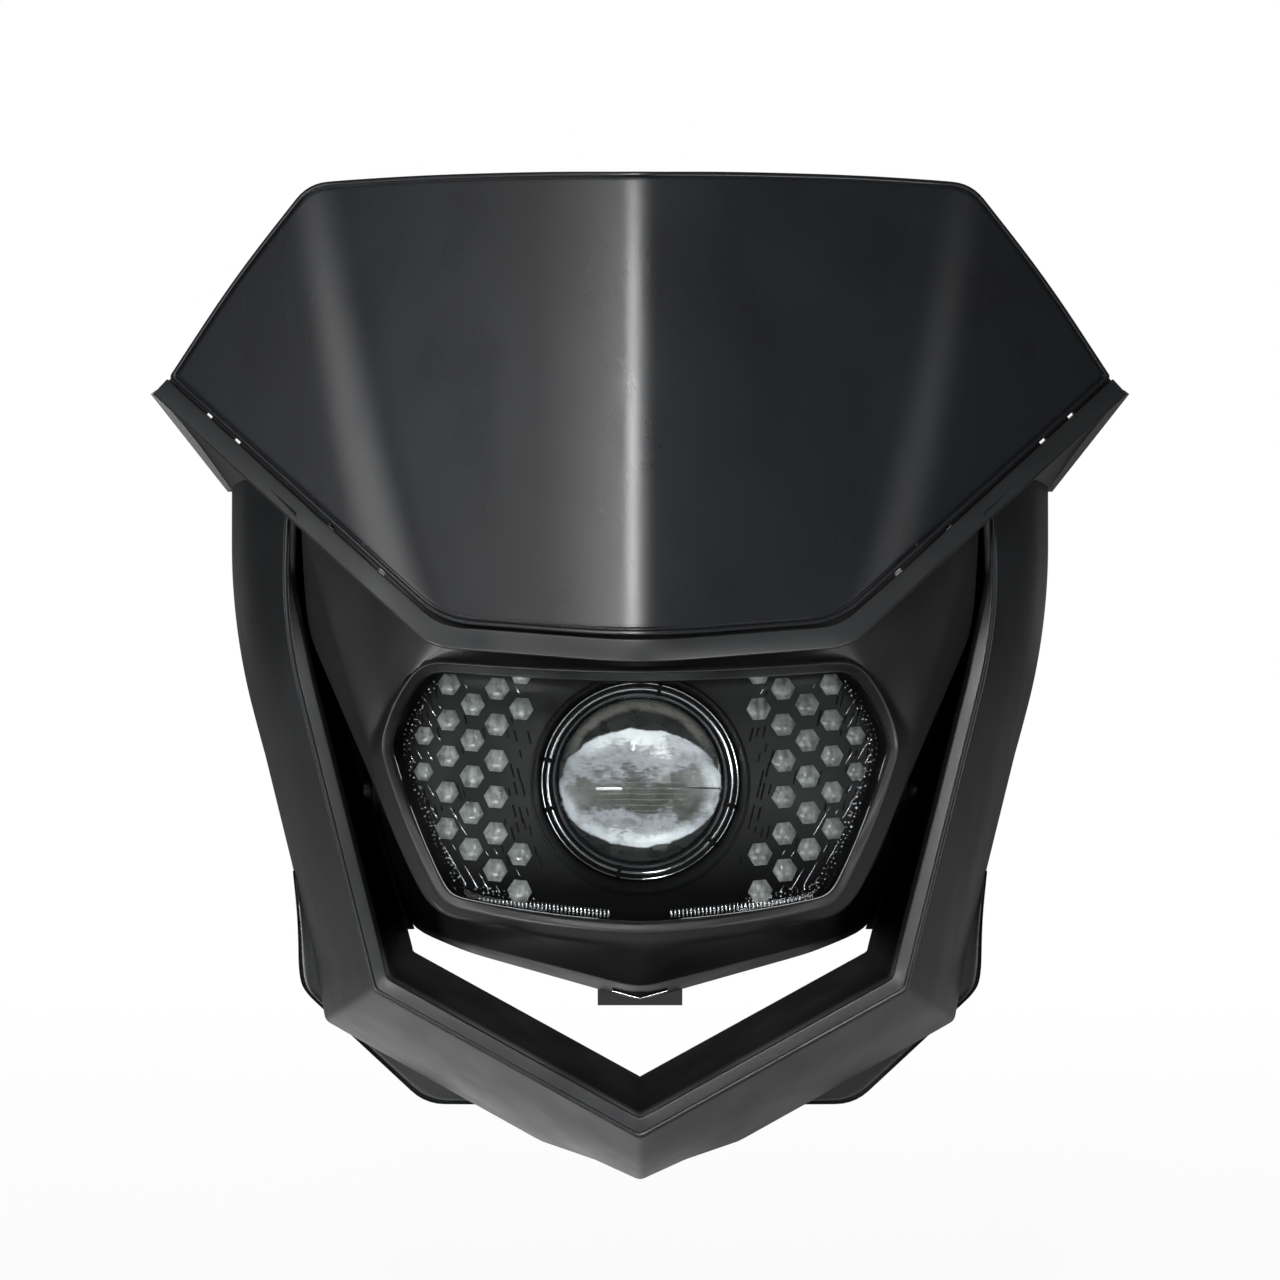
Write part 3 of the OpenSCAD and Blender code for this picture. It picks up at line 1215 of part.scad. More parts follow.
module rear_housing() {
    color("#1f2022") placed() difference() {
        union() {
            plate_between(flange_front, flange_front + flange_ring_t) polygon(lens_path);
            plate_between(flange_front, housing_back) polygon(body_path);
            // Ears for the pivot screws
            for (s = [-1, 1]) hull() {
                along_x(pivot_d * 0.5 + 2.2, s * (open_half - 12), s * ear_x);
                along_x(pivot_d * 0.5 + 2.4, s * (open_half - 12), s * (open_half - 8));
            }
            // Leg and tongue under the chin
            translate([-tongue_w / 2, leg_front, tongue_z])
                cube([tongue_w, leg_t, open_low_z - tongue_z + 5]);
            translate([-tongue_w / 2, tongue_front, tongue_z])
                cube([tongue_w, leg_front + leg_t - tongue_front, tongue_t]);
            // Frame for the driver
            plate_between(housing_back - 1, cover_front) driver_square(0);
        }
        difference() {
            plate_between(flange_front - 1, housing_back - housing_t) polygon(cavity_path);
            for (s = [-1, 1]) along_x(pivot_d * 0.5 + 2.2, s * (ear_x - 8), s * (open_half + 4));
            for (a = [45, 135, 225, 315]) translate([0, 0, beam_z]) rotate([0, a, 0])
                translate([barrel_r + barrel_t + 3.4, housing_back, 0]) rotate([90, 0, 0])
                    cylinder(r = small_screw_d / 2 + 1.8, h = housing_back - barrel_back);
        }
        for (a = [45, 135, 225, 315]) translate([0, 0, beam_z]) rotate([0, a, 0])
            translate([barrel_r + barrel_t + 3.4, barrel_back + 6, 0]) rotate([90, 0, 0])
                cylinder(r = small_screw_d / 2, h = 8);
        for (s = [-1, 1]) along_x(pivot_d / 2, s * (ear_x - 7), s * (ear_x + 2));
        // Room for the heat sink's shelf and its screws
        translate([-shelf_half - 0.5, housing_back - housing_t - 1, shelf_top - shelf_t - 0.5])
            cube([shelf_half * 2 + 1, housing_t + 2, bowl_r + shelf_t]);
        at_sink_bolts() rod(small_screw_d / 2, housing_back - housing_t - 1, housing_back + 1, 0, 0);
        difference() {
            plate_between(housing_back, cover_front + 1) driver_square(driver_wall);
            for (q = cover_bolts) rod(cover_boss_r, housing_back - 1, cover_front + 2, q[0], q[1]);
        }
        for (q = cover_bolts) {
            rod(small_screw_d / 2 - 0.25, housing_back + 0.5, cover_front + 1, q[0], q[1]);
        }
        rod(vent_bore, housing_back - housing_t - 1, housing_back + 1, vent_at[0], vent_at[1]);
        plate_between(housing_back - housing_t - 1, housing_back + 1) translate(socket_at)
            square(socket_port, center = true);
        // Slot and pocket for the aiming screw
        hull() {
            for (k = [-1, 1]) translate([0, aim_depth + k * aim_slot, tongue_z - 1])
                cylinder(r = aim_d / 2 + aim_play, h = tongue_t + 2);
        }
        hull() {
            for (k = [-1, 1]) translate([0, aim_depth + k * aim_slot, tongue_z - 1])
                cylinder(r = aim_d * 0.95 + aim_play, h = pocket_z - tongue_z + 1);
        }
    }
}

driver_seat = housing_back + 1;
module driver_board() {
    color("#1d4a33") placed() {
        difference() {
            plate_between(driver_seat, driver_seat + board_t) driver_square(driver_wall + seat_gap);
            for (q = cover_bolts) rod(cover_boss_r + seat_gap, housing_back, cover_front, q[0], q[1]);
        }
        coil_back = driver_seat + board_t + 2.8;
        plate_between(driver_seat + board_t - 0.1, coil_back - 0.4)
            translate(driver_at + [-4, 5]) square([8, 7], center = true);
        rod(2.6, driver_seat + board_t - 0.1, coil_back, driver_at[0] + 5, driver_at[1] - 5);
    }
}
module driver_cover() {
    color("#202123") placed() difference() {
        plate_between(cover_front, cover_front + cover_t) driver_square(0);
        for (q = cover_bolts) {
            rod(small_screw_d / 2, cover_front - 1, cover_front + cover_t + 1, q[0], q[1]);
        }
    }
}
module cover_screws() {
    color("#8d9094") placed() for (q = cover_bolts) {
        rod(small_screw_d / 2 - 0.25, housing_back + 1.5, cover_front + cover_t + 0.1, q[0], q[1]);
        rod(small_screw_d * 0.8, cover_front + cover_t, cover_front + cover_t + 1.4, q[0], q[1]);
    }
}
module breather_vent() {
    color("#303236") placed() {
        rod(vent_bore - 0.1, housing_back - housing_t, housing_back, vent_at[0], vent_at[1]);
        rod(vent_bore * 2, housing_back, housing_back + 4, vent_at[0], vent_at[1]);
    }
}
module connector_socket() {
    color("#101112") placed() {
        difference() {
            plate_between(housing_back, housing_back + socket_len)
                translate(socket_at) square([socket_w, socket_h], center = true);
            plate_between(housing_back + 3, housing_back + socket_len + 1) translate(socket_at)
                square([socket_w - 2 * socket_t, socket_h - 2 * socket_t], center = true);
        }
        for (k = [-1, 0, 1]) {
            translate([socket_at[0] + k * 5 - 0.6, housing_back + 2.5, socket_at[1] - 0.6])
                cube([1.2, 9, 1.2]);
        }
        plate_between(housing_back - housing_t, housing_back + 0.01)
            translate(socket_at) square(socket_port - [0.4, 0.4], center = true);
    }
}

number_plate();
plate_screws();
mask_frame();
lamp_shroud();
shroud_screws();
bracket_left();
bracket_right();
bracket_screws();
bracket_sleeves();
pivot_bush_left();
pivot_bush_right();
pivot_screw_left();
pivot_screw_right();
aim_screw();
aim_washer();
outer_lens();
lens_gasket();
inner_bezel();
hex_diffuser_left();
hex_diffuser_right();
position_board_left();
position_board_right();
position_lights();
projector_lens();
lens_ring();
lens_barrel();
reflector_bowl();
cutoff_shutter();
emitter_board();
light_emitter();
heat_sink();
heat_sink_screws();
projector_screws();
rear_housing();
driver_board();
driver_cover();
cover_screws();
breather_vent();
connector_socket();
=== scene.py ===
"""LED headlight of an off-road motorcycle: mask, number plate, shroud and projector lamp."""
import math

import bmesh
import bpy
import numpy as np
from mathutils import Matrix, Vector


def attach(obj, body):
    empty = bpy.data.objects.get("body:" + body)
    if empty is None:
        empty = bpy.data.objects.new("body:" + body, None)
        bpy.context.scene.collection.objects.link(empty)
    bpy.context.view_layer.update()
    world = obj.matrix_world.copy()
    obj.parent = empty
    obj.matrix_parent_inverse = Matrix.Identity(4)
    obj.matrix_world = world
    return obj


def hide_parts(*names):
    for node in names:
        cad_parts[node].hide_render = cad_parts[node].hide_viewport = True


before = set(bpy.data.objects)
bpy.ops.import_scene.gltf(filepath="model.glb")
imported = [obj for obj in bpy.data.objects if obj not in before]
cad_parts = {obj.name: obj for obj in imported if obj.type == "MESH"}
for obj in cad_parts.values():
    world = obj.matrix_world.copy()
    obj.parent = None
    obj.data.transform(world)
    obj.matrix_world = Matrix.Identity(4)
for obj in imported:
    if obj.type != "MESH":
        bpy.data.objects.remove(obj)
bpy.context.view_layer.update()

# Sizes in millimetres. Depth is counted rearwards from a plane just ahead of the mask,
# and the mounting plane lies this far behind it.
MOUNT_DEPTH = 118.0


# Plane shapes and grids

def slope(degrees):
    """Rise for each unit of run at an angle."""
    return math.tan(math.radians(degrees))


def mix(a, b, k):
    """Point at share k of the way from a to b."""
    return a + (b - a) * k


def eased(v, low, high):
    """Smooth step: 3 k^2 - 2 k^3 of the share k of the way from low to high."""
    k = np.clip((v - low) / (high - low), 0, 1)
    return k * k * (3 - 2 * k)


def softened(v, w):
    """Nought below -w, v above w, and the parabola (v + w)^2 / 4w between them."""
    return np.where(v < -w, 0, np.where(v > w, v, (v + w) ** 2 / (4 * w)))


def unit(v):
    """Vectors of length one."""
    return v / np.maximum(np.linalg.norm(v, axis=-1, keepdims=True), 1e-9)


def offset(path, out, closed):
    """Plane path moved to the right of its run by out, with mitred corners."""
    before = path - np.roll(path, 1, 0)
    after = np.roll(path, -1, 0) - path
    if not closed:
        before[0], after[-1] = after[0], before[-1]
    right = np.array([[0, -1], [1, 0]])
    a, b = unit(before) @ right, unit(after) @ right
    middle = unit(a + b)
    return path + middle * out / np.maximum((middle * a).sum(-1, keepdims=True), 0.5)


def rounded(points, radii, closed=False, turns=5, axis=0):
    """Corners replaced by parabolic arcs: (1-t)^2 A + 2t(1-t) P + t^2 B, A and B on both legs."""
    p = np.moveaxis(points, axis, 0)
    n = len(p)
    made = []
    for i in range(n):
        if np.max(radii[i]) <= 0 or (not closed and i in (0, n - 1)):
            made.append(p[i][None])
            continue
        back, ahead = p[i - 1] - p[i], p[(i + 1) % n] - p[i]
        reach = [np.minimum(radii[i], 0.46 * np.linalg.norm(v, axis=-1, keepdims=True)) for v in (back, ahead)]
        a, b = p[i] + unit(back) * reach[0], p[i] + unit(ahead) * reach[1]
        t = np.linspace(0, 1, turns).reshape((-1,) + (1,) * a.ndim)
        made.append((1 - t) ** 2 * a + 2 * t * (1 - t) * p[i] + t * t * b)
    return np.moveaxis(np.concatenate(made), 0, axis)


def stepped(points, size, closed=False, axis=0):
    """Straight runs longer than size cut into equal steps, by the longest run of each row."""
    p = np.moveaxis(points, axis, 0)
    ahead = np.roll(p, -1, 0)
    last = len(p) if closed else len(p) - 1
    made = []
    for i in range(last):
        run = float(np.linalg.norm(ahead[i] - p[i], axis=-1).max())
        parts = max(1, int(math.ceil(run / size)))
        t = (np.arange(parts) / parts).reshape((-1,) + (1,) * p[i].ndim)
        made.append(p[i] + (ahead[i] - p[i]) * t)
    if not closed:
        made.append(p[-1:])
    return np.moveaxis(np.concatenate(made), 0, axis)


def solid(plane, depth):
    """Plane points (x, z) and depths joined into points (x, depth, z)."""
    depth = np.broadcast_to(depth, plane.shape[:-1])
    return np.stack([plane[..., 0], depth, plane[..., 1]], -1)


def mirrored(points):
    """Points on the other side of the middle plane."""
    return points * np.array([-1.0, 1.0, 1.0])


def grid_normals(g):
    """Unit normals of a grid from the cross product of its two directions."""
    return unit(np.cross(np.gradient(g, axis=0), np.gradient(g, axis=1)))


def walled(g, t):
    """Closed sections: each row of the grid and the same row moved by the wall t along the normals."""
    return np.concatenate([g, (g + grid_normals(g) * t)[:, ::-1]], 1)


def spun(profile, x, z, count=64, start=0.0, turn=2 * math.pi):
    """Profile of (radius, depth) carried round an axis along the depth at (x, z)."""
    a = start + np.linspace(0, turn, count, endpoint=abs(turn) < 6.28)[:, None]
    r, d = np.asarray(profile, float).T
    return np.stack([x + r * np.cos(a), d + 0 * a, z + r * np.sin(a)], -1)


def mesh_piece(name, grids, look, body, replaces=(), sharp=38):
    """One closed mesh from grids of (points, wrap rows, wrap columns, capped ends).

    The four corners (i, j), (i + 1, j), (i + 1, j + 1) and (i, j + 1) make each face. Depth d
    becomes Y = (d - mount depth) / 1000, doubles are merged and the normals are turned outwards.
    """
    points, loops, sizes, base = [], [], [], 0
    for grid, wrap_i, wrap_j, capped in grids:
        n, m = grid.shape[:2]
        i, j = np.meshgrid(np.arange(n if wrap_i else n - 1), np.arange(m if wrap_j else m - 1), indexing="ij")
        i1, j1 = (i + 1) % n, (j + 1) % m
        quads = np.stack([i * m + j, i1 * m + j, i1 * m + j1, i * m + j1], -1).reshape(-1, 4) + base
        points.append(grid.reshape(-1, 3))
        loops.append(quads.ravel())
        sizes.append(np.full(len(quads), 4))
        if capped:
            loops.append(np.concatenate([base + np.arange(m)[::-1], base + (n - 1) * m + np.arange(m)]))
            sizes.append(np.array([m, m]))
        base += n * m
    co = (np.concatenate(points) - np.array([0, MOUNT_DEPTH, 0])) / 1000
    loops, sizes = np.concatenate(loops), np.concatenate(sizes)
    mesh = bpy.data.meshes.new(name)
    mesh.vertices.add(len(co))
    mesh.vertices.foreach_set("co", co.astype(np.float32).ravel())
    mesh.loops.add(len(loops))
    mesh.loops.foreach_set("vertex_index", loops.astype(np.int32))
    mesh.polygons.add(len(sizes))
    mesh.polygons.foreach_set("loop_start", (np.cumsum(sizes) - sizes).astype(np.int32))
    mesh.update(calc_edges=True)
    tidy = bmesh.new()
    tidy.from_mesh(mesh)
    bmesh.ops.remove_doubles(tidy, verts=tidy.verts, dist=2e-6)
    bmesh.ops.recalc_face_normals(tidy, faces=tidy.faces)
    tidy.to_mesh(mesh)
    tidy.free()
    mesh.shade_smooth()
    mesh.set_sharp_from_angle(angle=math.radians(sharp))
    piece = bpy.data.objects.new(name, mesh)
    bpy.context.scene.collection.objects.link(piece)
    mesh.materials.append(look)
    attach(piece, body)
    if replaces:
        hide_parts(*replaces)
    return piece


# Finishes

def linear(*rgb):
    """Colour of a screen value 0 to 255 as light, with full cover."""
    v = np.array(rgb if len(rgb) == 3 else rgb * 3) / 255
    return tuple(np.where(v < 0.04045, v / 12.92, ((v + 0.055) / 1.055) ** 2.4)) + (1.0,)


class Look:
    """Nodes of one finish on Object coordinates."""

    def __init__(self, name):
        self.material = bpy.data.materials.new(name)
        self.material.use_nodes = True
        self.nodes = self.material.node_tree.nodes
        self.nodes.clear()
        self.out = self.nodes.new("ShaderNodeOutputMaterial")
        self.place = self.nodes.new("ShaderNodeTexCoord").outputs["Object"]

    def link(self, a, b):
        self.material.node_tree.links.new(a, b)
        return b

    def node(self, kind, values=None, **settings):
        made = self.nodes.new("ShaderNode" + kind)
        for key, value in settings.items():
            setattr(made, key, value)
        for key, value in (values or {}).items():
            if isinstance(value, bpy.types.NodeSocket):
                self.link(value, made.inputs[key])
            else:
                made.inputs[key].default_value = value
        return made

    def noise(self, scale, detail=3.0, stretch=(1, 1, 1), rough=0.5):
        place = self.node("Mapping", {"Vector": self.place, "Scale": stretch}).outputs[0]
        return self.node("TexNoise", {"Vector": place, "Scale": scale, "Detail": detail,
                                      "Roughness": rough}).outputs["Fac"]

    def ramp(self, value, stops):
        made = self.node("ValToRGB", {"Fac": value})
        line = made.color_ramp.elements
        while len(line) < len(stops):
            line.new(0.5)
        for mark, (at, colour) in zip(line, stops):
            mark.position = at
            mark.color = colour
        return made.outputs["Color"]

    def range(self, value, low, high, to_low, to_high):
        return self.node("MapRange", {"Value": value, "From Min": low, "From Max": high,
                                      "To Min": to_low, "To Max": to_high}).outputs[0]

    def math(self, kind, a, b=0.0):
        return self.node("Math", {0: a, 1: b}, operation=kind).outputs[0]

    def bump(self, height, distance, strength=1.0, under=None):
        values = {"Height": height, "Distance": distance, "Strength": strength}
        if under is not None:
            values["Normal"] = under
        return self.node("Bump", values).outputs[0]

    def surface(self, **values):
        shader = self.node("BsdfPrincipled", {key.replace("_", " "): v for key, v in values.items()})
        self.link(shader.outputs[0], self.out.inputs["Surface"])
        return shader


def moulded(name, dark, light, rough, grain=2600, depth=0.00002, spec=0.3, flow=0.06, shade=None):
    """Moulded plastic: a fine eroded grain, faint flow marks and polished patches, and painted shade: black where the
    shade factor is nought.
    """
    look = Look(name)
    cloud = look.noise(22, 4)
    fine = look.noise(grain, 2)
    colour = look.ramp(look.math("ADD", cloud, look.math("MULTIPLY", fine, 0.25)), [(0.4, dark), (0.85, light)])
    polish = look.range(look.noise(60, 5, (1, 1, 0.4)), 0.3, 0.7, rough - flow, rough + flow)
    # Painted shade: the colour is taken to black, the gloss lowered and the roughness raised where the shade factor
    # falls to nought.
    if shade:
        share = shade(look)
        colour = look.node("MixRGB", {"Fac": share, "Color1": linear(1), "Color2": colour}).outputs[0]
        spec = look.math("MULTIPLY", share, spec)
        polish = look.math("ADD", polish, look.range(share, 0.0, 1.0, 0.4, 0.0))
    wave = look.bump(look.noise(34, 2), 0.0006, 0.05)
    look.surface(Base_Color=colour, Roughness=polish, Specular_IOR_Level=spec,
                 Normal=look.bump(fine, depth, 0.5, wave))
    return look.material


def millimetres(look):
    """Distance from the middle plane, depth and height of the shaded point."""
    x, y, z = (look.math("MULTIPLY", axis, 1000.0) for axis in look.node("SeparateXYZ", {0: look.place}).outputs)
    return look.math("ABSOLUTE", x), look.math("ADD", y, MOUNT_DEPTH), z


def foot_shade(look):
    """Painted shade: black bezel at its lower edge."""
    return look.range(millimetres(look)[2], -72.0, -45.0, 0.12, 1.0)


def recess_shade(look):
    """Painted shade, black on the inner walls of the arms and dim on those of the V: inside the crease line and behind
    it.
    """
    x, depth, z = millimetres(look)
    drop = look.math("MULTIPLY", look.math("MAXIMUM", look.math("SUBTRACT", 4.4, z), 0.0), slope(15.9))
    beside = look.math("SUBTRACT", look.math("SUBTRACT", 105.6, drop), x)
    above = look.math("SUBTRACT", look.math("ADD", z, 140.3), look.math("MULTIPLY", x, 0.529))
    front = look.math("ADD", look.math("MULTIPLY", z, slope(14.6)), 10 + slope(14.6) * 141.3)
    inward = look.range(look.math("MINIMUM", beside, above), 0.0, 1.5, 0.0, 1.0)
    behind = look.range(look.math("SUBTRACT", depth, front), 2.4, 7.0, 0.0, 1.0)
    most = look.range(z, -98.0, -84.0, 0.82, 1.0)
    return look.math("SUBTRACT", 1.0, look.math("MULTIPLY", look.math("MULTIPLY", inward, behind), most))


def cheek_shade(look):
    """Painted shade, black on the shroud's sides below the cheeks, behind the rim."""
    x, depth, z = millimetres(look)
    rim = look.math("ADD", look.math("MULTIPLY", look.math("MULTIPLY", x, x), 18.4 / 72.1 ** 2), 2.0)
    behind = look.range(look.math("SUBTRACT", depth, rim), 4.5, 10.0, 0.0, 1.0)
    low = look.range(z, -55.0, 5.0, 0.95, 0.0)
    side = look.range(x, 50.0, 60.0, 0.0, 1.0)
    return look.math("SUBTRACT", 1.0, look.math("MULTIPLY", look.math("MULTIPLY", behind, low), side))


def metal(name, dark, light, rough, grain=900, stretch=(1, 1, 1), depth=0.00003, metallic=1.0):
    """Bare or plated metal with brushed or cast grain and small stains."""
    look = Look(name)
    fine = look.noise(grain, 3, stretch)
    colour = look.ramp(look.math("ADD", look.noise(90, 4), look.math("MULTIPLY", fine, 0.3)),
                       [(0.35, dark), (0.9, light)])
    look.surface(Base_Color=colour, Metallic=metallic,
                 Roughness=look.range(look.noise(240, 3, stretch), 0.3, 0.7, rough * 0.75, rough * 1.25),
                 Normal=look.bump(fine, depth, 0.6))
    return look.material


def circuit(name, mask, track):
    """Circuit board: solder mask over fine tracks that run in two directions."""
    look = Look(name)
    rows = look.node("TexWave", {"Vector": look.place, "Scale": 320.0, "Distortion": 3.0, "Detail": 2.0},
                     bands_direction="Z").outputs["Fac"]
    colour = look.ramp(rows, [(0.55, mask), (0.62, track)])
    look.surface(Base_Color=colour, Roughness=look.range(look.noise(300), 0.3, 0.7, 0.3, 0.45),
                 Normal=look.bump(rows, 0.00003, 0.5))
    return look.material


def clear(name, tint, rough, haze):
    """Clear part: see-through where faced, with gloss from the Fresnel share and a trace of haze."""
    look = Look(name)
    gloss = look.node("BsdfPrincipled", {"Base Color": tint, "Roughness": rough, "Metallic": 1.0,
                                         "Normal": look.bump(look.noise(40, 2), 0.0003, 0.05)})
    through = look.node("BsdfTransparent", {"Color": (0.97, 0.98, 0.98, 1)})
    edge = look.node("Fresnel", {"IOR": 1.49}).outputs[0]
    share = look.math("ADD", look.math("MULTIPLY", edge, 0.3),
                      look.range(look.noise(120, 5), 0.45, 0.8, 0.0, haze))
    blend = look.node("MixShader", {0: share})
    look.link(through.outputs[0], blend.inputs[1])
    look.link(gloss.outputs[0], blend.inputs[2])
    look.link(blend.outputs[0], look.out.inputs["Surface"])
    return look.material


def milky(name):
    """Milky diffuser plastic: cloudy white with light passing through it, and a faint painted glow."""
    look = Look(name)
    cloud = look.noise(420, 4, (1, 1, 1))
    streak = look.noise(260, 3, (3.0, 1, 0.6))
    colour = look.ramp(look.math("ADD", look.math("MULTIPLY", cloud, 0.55), look.math("MULTIPLY", streak, 0.45)),
                       [(0.3, linear(70, 72, 71)), (0.5, linear(104, 107, 106)), (0.72, linear(142, 145, 144))])
    # The emission is a painted glow: the diffuser shines faintly with no light behind it.
    look.surface(Base_Color=colour, Roughness=look.range(cloud, 0.3, 0.7, 0.22, 0.4), Subsurface_Weight=0.25,
                 Subsurface_Radius=(1.0, 1.0, 1.0), Subsurface_Scale=0.0012, Specular_IOR_Level=0.5,
                 Emission_Color=colour, Emission_Strength=0.12, Normal=look.bump(streak, 0.0001, 0.5))
    return look.material


# The mask, shroud and bezel finishes darken by position as painted shade.
mask_look = moulded("mask_moulding", linear(11, 12, 13), linear(23, 25, 27), 0.37, spec=0.5, shade=recess_shade)
plate_look = moulded("plate_moulding", linear(13, 14, 16), linear(17, 19, 22), 0.28, spec=0.5, flow=0.015)
shroud_look = moulded("shroud_moulding", linear(9, 9, 10), linear(19, 19, 20), 0.42, spec=0.4,
                      shade=cheek_shade)
bezel_look = moulded("bezel_satin", linear(7), linear(15), 0.34, grain=3400, depth=0.00001,
                     shade=foot_shade)
housing_look = moulded("housing_moulding", linear(16, 16, 17), linear(27, 27, 28), 0.55, grain=1700)
cover_look = clear("clear_cover", linear(225, 230, 232), 0.04, 0.006)
glass_look = clear("projector_glass", linear(225, 228, 230), 0.02, 0.008)
milk_look = milky("milky_diffuser")
# Black marks, and painted shade where it fills the chin slot and the recess floors.
black_and_shade_look = moulded("engraved_black_and_painted_shade", linear(1), linear(5), 0.7, spec=0.1)
# Bright facets, and a painted highlight where it lines the chin slot.
bright_and_highlight_look = metal("bright_facets_and_painted_highlight", linear(150, 152, 155), linear(235, 237, 240), 0.2, grain=1500)
ring_look = metal("ring_plating", linear(175, 177, 180), linear(232, 233, 235), 0.12, grain=2400, depth=0.00001)
barrel_look = metal("barrel_casting", linear(40, 41, 43), linear(74, 75, 78), 0.45, grain=1300)


# Number plate

def ridge(x):
    """Distance from the middle plane, rounded near it twice: v^2 / 2w within w, v - w / 2 beyond."""
    v = np.abs(x)
    tight, wide = (np.where(v < w, v * v / (2 * w), v - w / 2) for w in (5, 30))
    return 0.72 * tight + 0.28 * wide + 3.0


def plate_depth(p):
    """Front of the plate at plane points: lean with the height, sweep off the ridge and past the fold."""
    x, z = p[..., 0], p[..., 1]
    fold = mix(58, 99, np.clip((z - 0.5) / 141.5, 0, 1) ** 0.6)
    return (4.5 + slope(21.3) * (z - 0.5) + slope(10.2) * ridge(x)
            + (slope(30.5) - slope(10.2)) * softened(np.abs(x) - fold, 11))


LOW_EDGE = np.array([[-147.2, 82.2], [-57, 4.9], [0, 0.5], [57, 4.9], [147.2, 82.2]])
PLATE_TOP = np.array([[126.4, 112.9], [102.8, 141.4], [67, 142.7], [31, 142.6]])
PLATE_EDGE = np.concatenate([LOW_EDGE, PLATE_TOP, [[0, 141.7]], PLATE_TOP[::-1] * [-1, 1]])
PLATE_ROUND = [1.3, 9, 20, 9, 1.3, 30, 6, 15, 15, 8, 15, 15, 6, 30]
GROOVE_SLOTS = [76.0, 92.0, 124.1, 134.1]


def plate_rings(insets, size=2.2):
    """Outlines of the plate moved inwards, their corners rounded, all with as many points."""
    corners = np.stack([offset(PLATE_EDGE, -inset, True) for inset in insets])
    return stepped(rounded(corners, PLATE_ROUND, True, 7, 1), size, True, 1)


def plate_shell():
    """Face with a fine line and a bead round its edge, wall, and rear face, as rings from pole to pole."""
    pole = np.array([0.0, 75.0])
    edge = np.array([(3.4, 0), (2.7, 0), (2.3, 0.05), (2.05, 0.8), (1.6, 0.85), (1.35, 0.15), (1.05, 0), (0.5, 0.05),
                     (0.18, 0.35), (0, 0.8), (0, 2.4), (0.4, 3.1), (1.5, 3.2)])
    rings = plate_rings(edge[:, 0])
    face = pole + (rings[0] - pole) * np.linspace(0, 1, 56, endpoint=False)[:, None, None]
    rear = pole + (rings[-1] - pole) * np.linspace(1, 0, 40)[1:, None, None]
    plane = np.concatenate([face, rings, rear])
    drop = np.concatenate([np.zeros(len(face)), edge[:, 1], np.full(len(rear), 3.2)])
    return solid(plane, plate_depth(plane) + drop[:, None])


def rib(a, b, width, height):
    """Rib on the rear of the plate from a to b: a box section carried along a straight line."""
    a, b = np.array(a, float), np.array(b, float)
    across = unit(np.array([b[1] - a[1], a[0] - b[0]])) * width / 2
    line = a + (b - a) * np.linspace(0, 1, 24)[:, None]
    rows = [np.stack([line + across * s, line + across * s * 0.8], 1) for s in (1, -1)]
    plane = np.concatenate([rows[0], rows[1][:, ::-1]], 1)
    back = plate_depth(line)[:, None] + np.array([2.4, 3.2 + height, 3.2 + height, 2.4])
    return solid(plane, back)


# Mask frame: band, ledge, arms, ears and foot flanges

def band():
    """Band under the plate with its lip, and the ledge behind the plate, along the plate's lower edge.

    Section points are (distance below the edge, depth behind the face, share of the ledge's own depth).
    """
    lip = [(0.9, 0.7, 0), (0.9, 0.3, 0), (7.3, -1, 0), (7.3, 2, 0), (4.7, 2, 0), (4.7, 2.6, 0), (3.5, 3.2, 0),
           (3.5, 6.7, 0), (0.9, 6.7, 0)]
    ledge = [(2.0, 6.8, 0), (-10, 6.9, 1), (-10, 4.2, 1), (2.0, 4.1, 0)]
    made = []
    for section, radii, step in ((lip, [0, 0.5, 0.9, 0.5, 0.4, 0, 0, 0.5, 0], 2.0), (ledge, [0, 0.6, 0.6, 0], 0.5)):
        rows = []
        for out, drop, own in section:
            line = offset(LOW_EDGE, out, False)
            rows.append(np.concatenate([line, offset(LOW_EDGE, out if own else 0, False)], 1))
        lines = stepped(rounded(np.stack(rows, 1), [0, 9, 20, 9, 0], turns=7), step)
        drop = np.array([d for _, d, _ in section])
        points = solid(lines[..., :2], plate_depth(lines[..., 2:]) + drop)
        made.append(rounded(points, radii, True, 4, 1))
    x = np.abs(made[1][:, 0, 0])
    whole = np.abs(x[:, None] - np.array(GROOVE_SLOTS)).min(1) > 0.75
    cuts = np.flatnonzero(np.diff(whole.astype(int))) + 1
    return made[:1] + [part for part, kept in zip(np.split(made[1], cuts), np.split(whole, cuts))
                       if kept[0] and len(part) > 1]


def arm_x(z):
    """Half width of the front crease at a height: upright above its bend, leaning inwards below."""
    return 106.6 - slope(15.9) * softened(4.4 - z, 20)


def crease_depth(z):
    """Depth of the front crease at a height."""
    return 10 + slope(14.6) * (z + 141.3)


CORNER_Z, TIP_Z = -100.8, -141.3


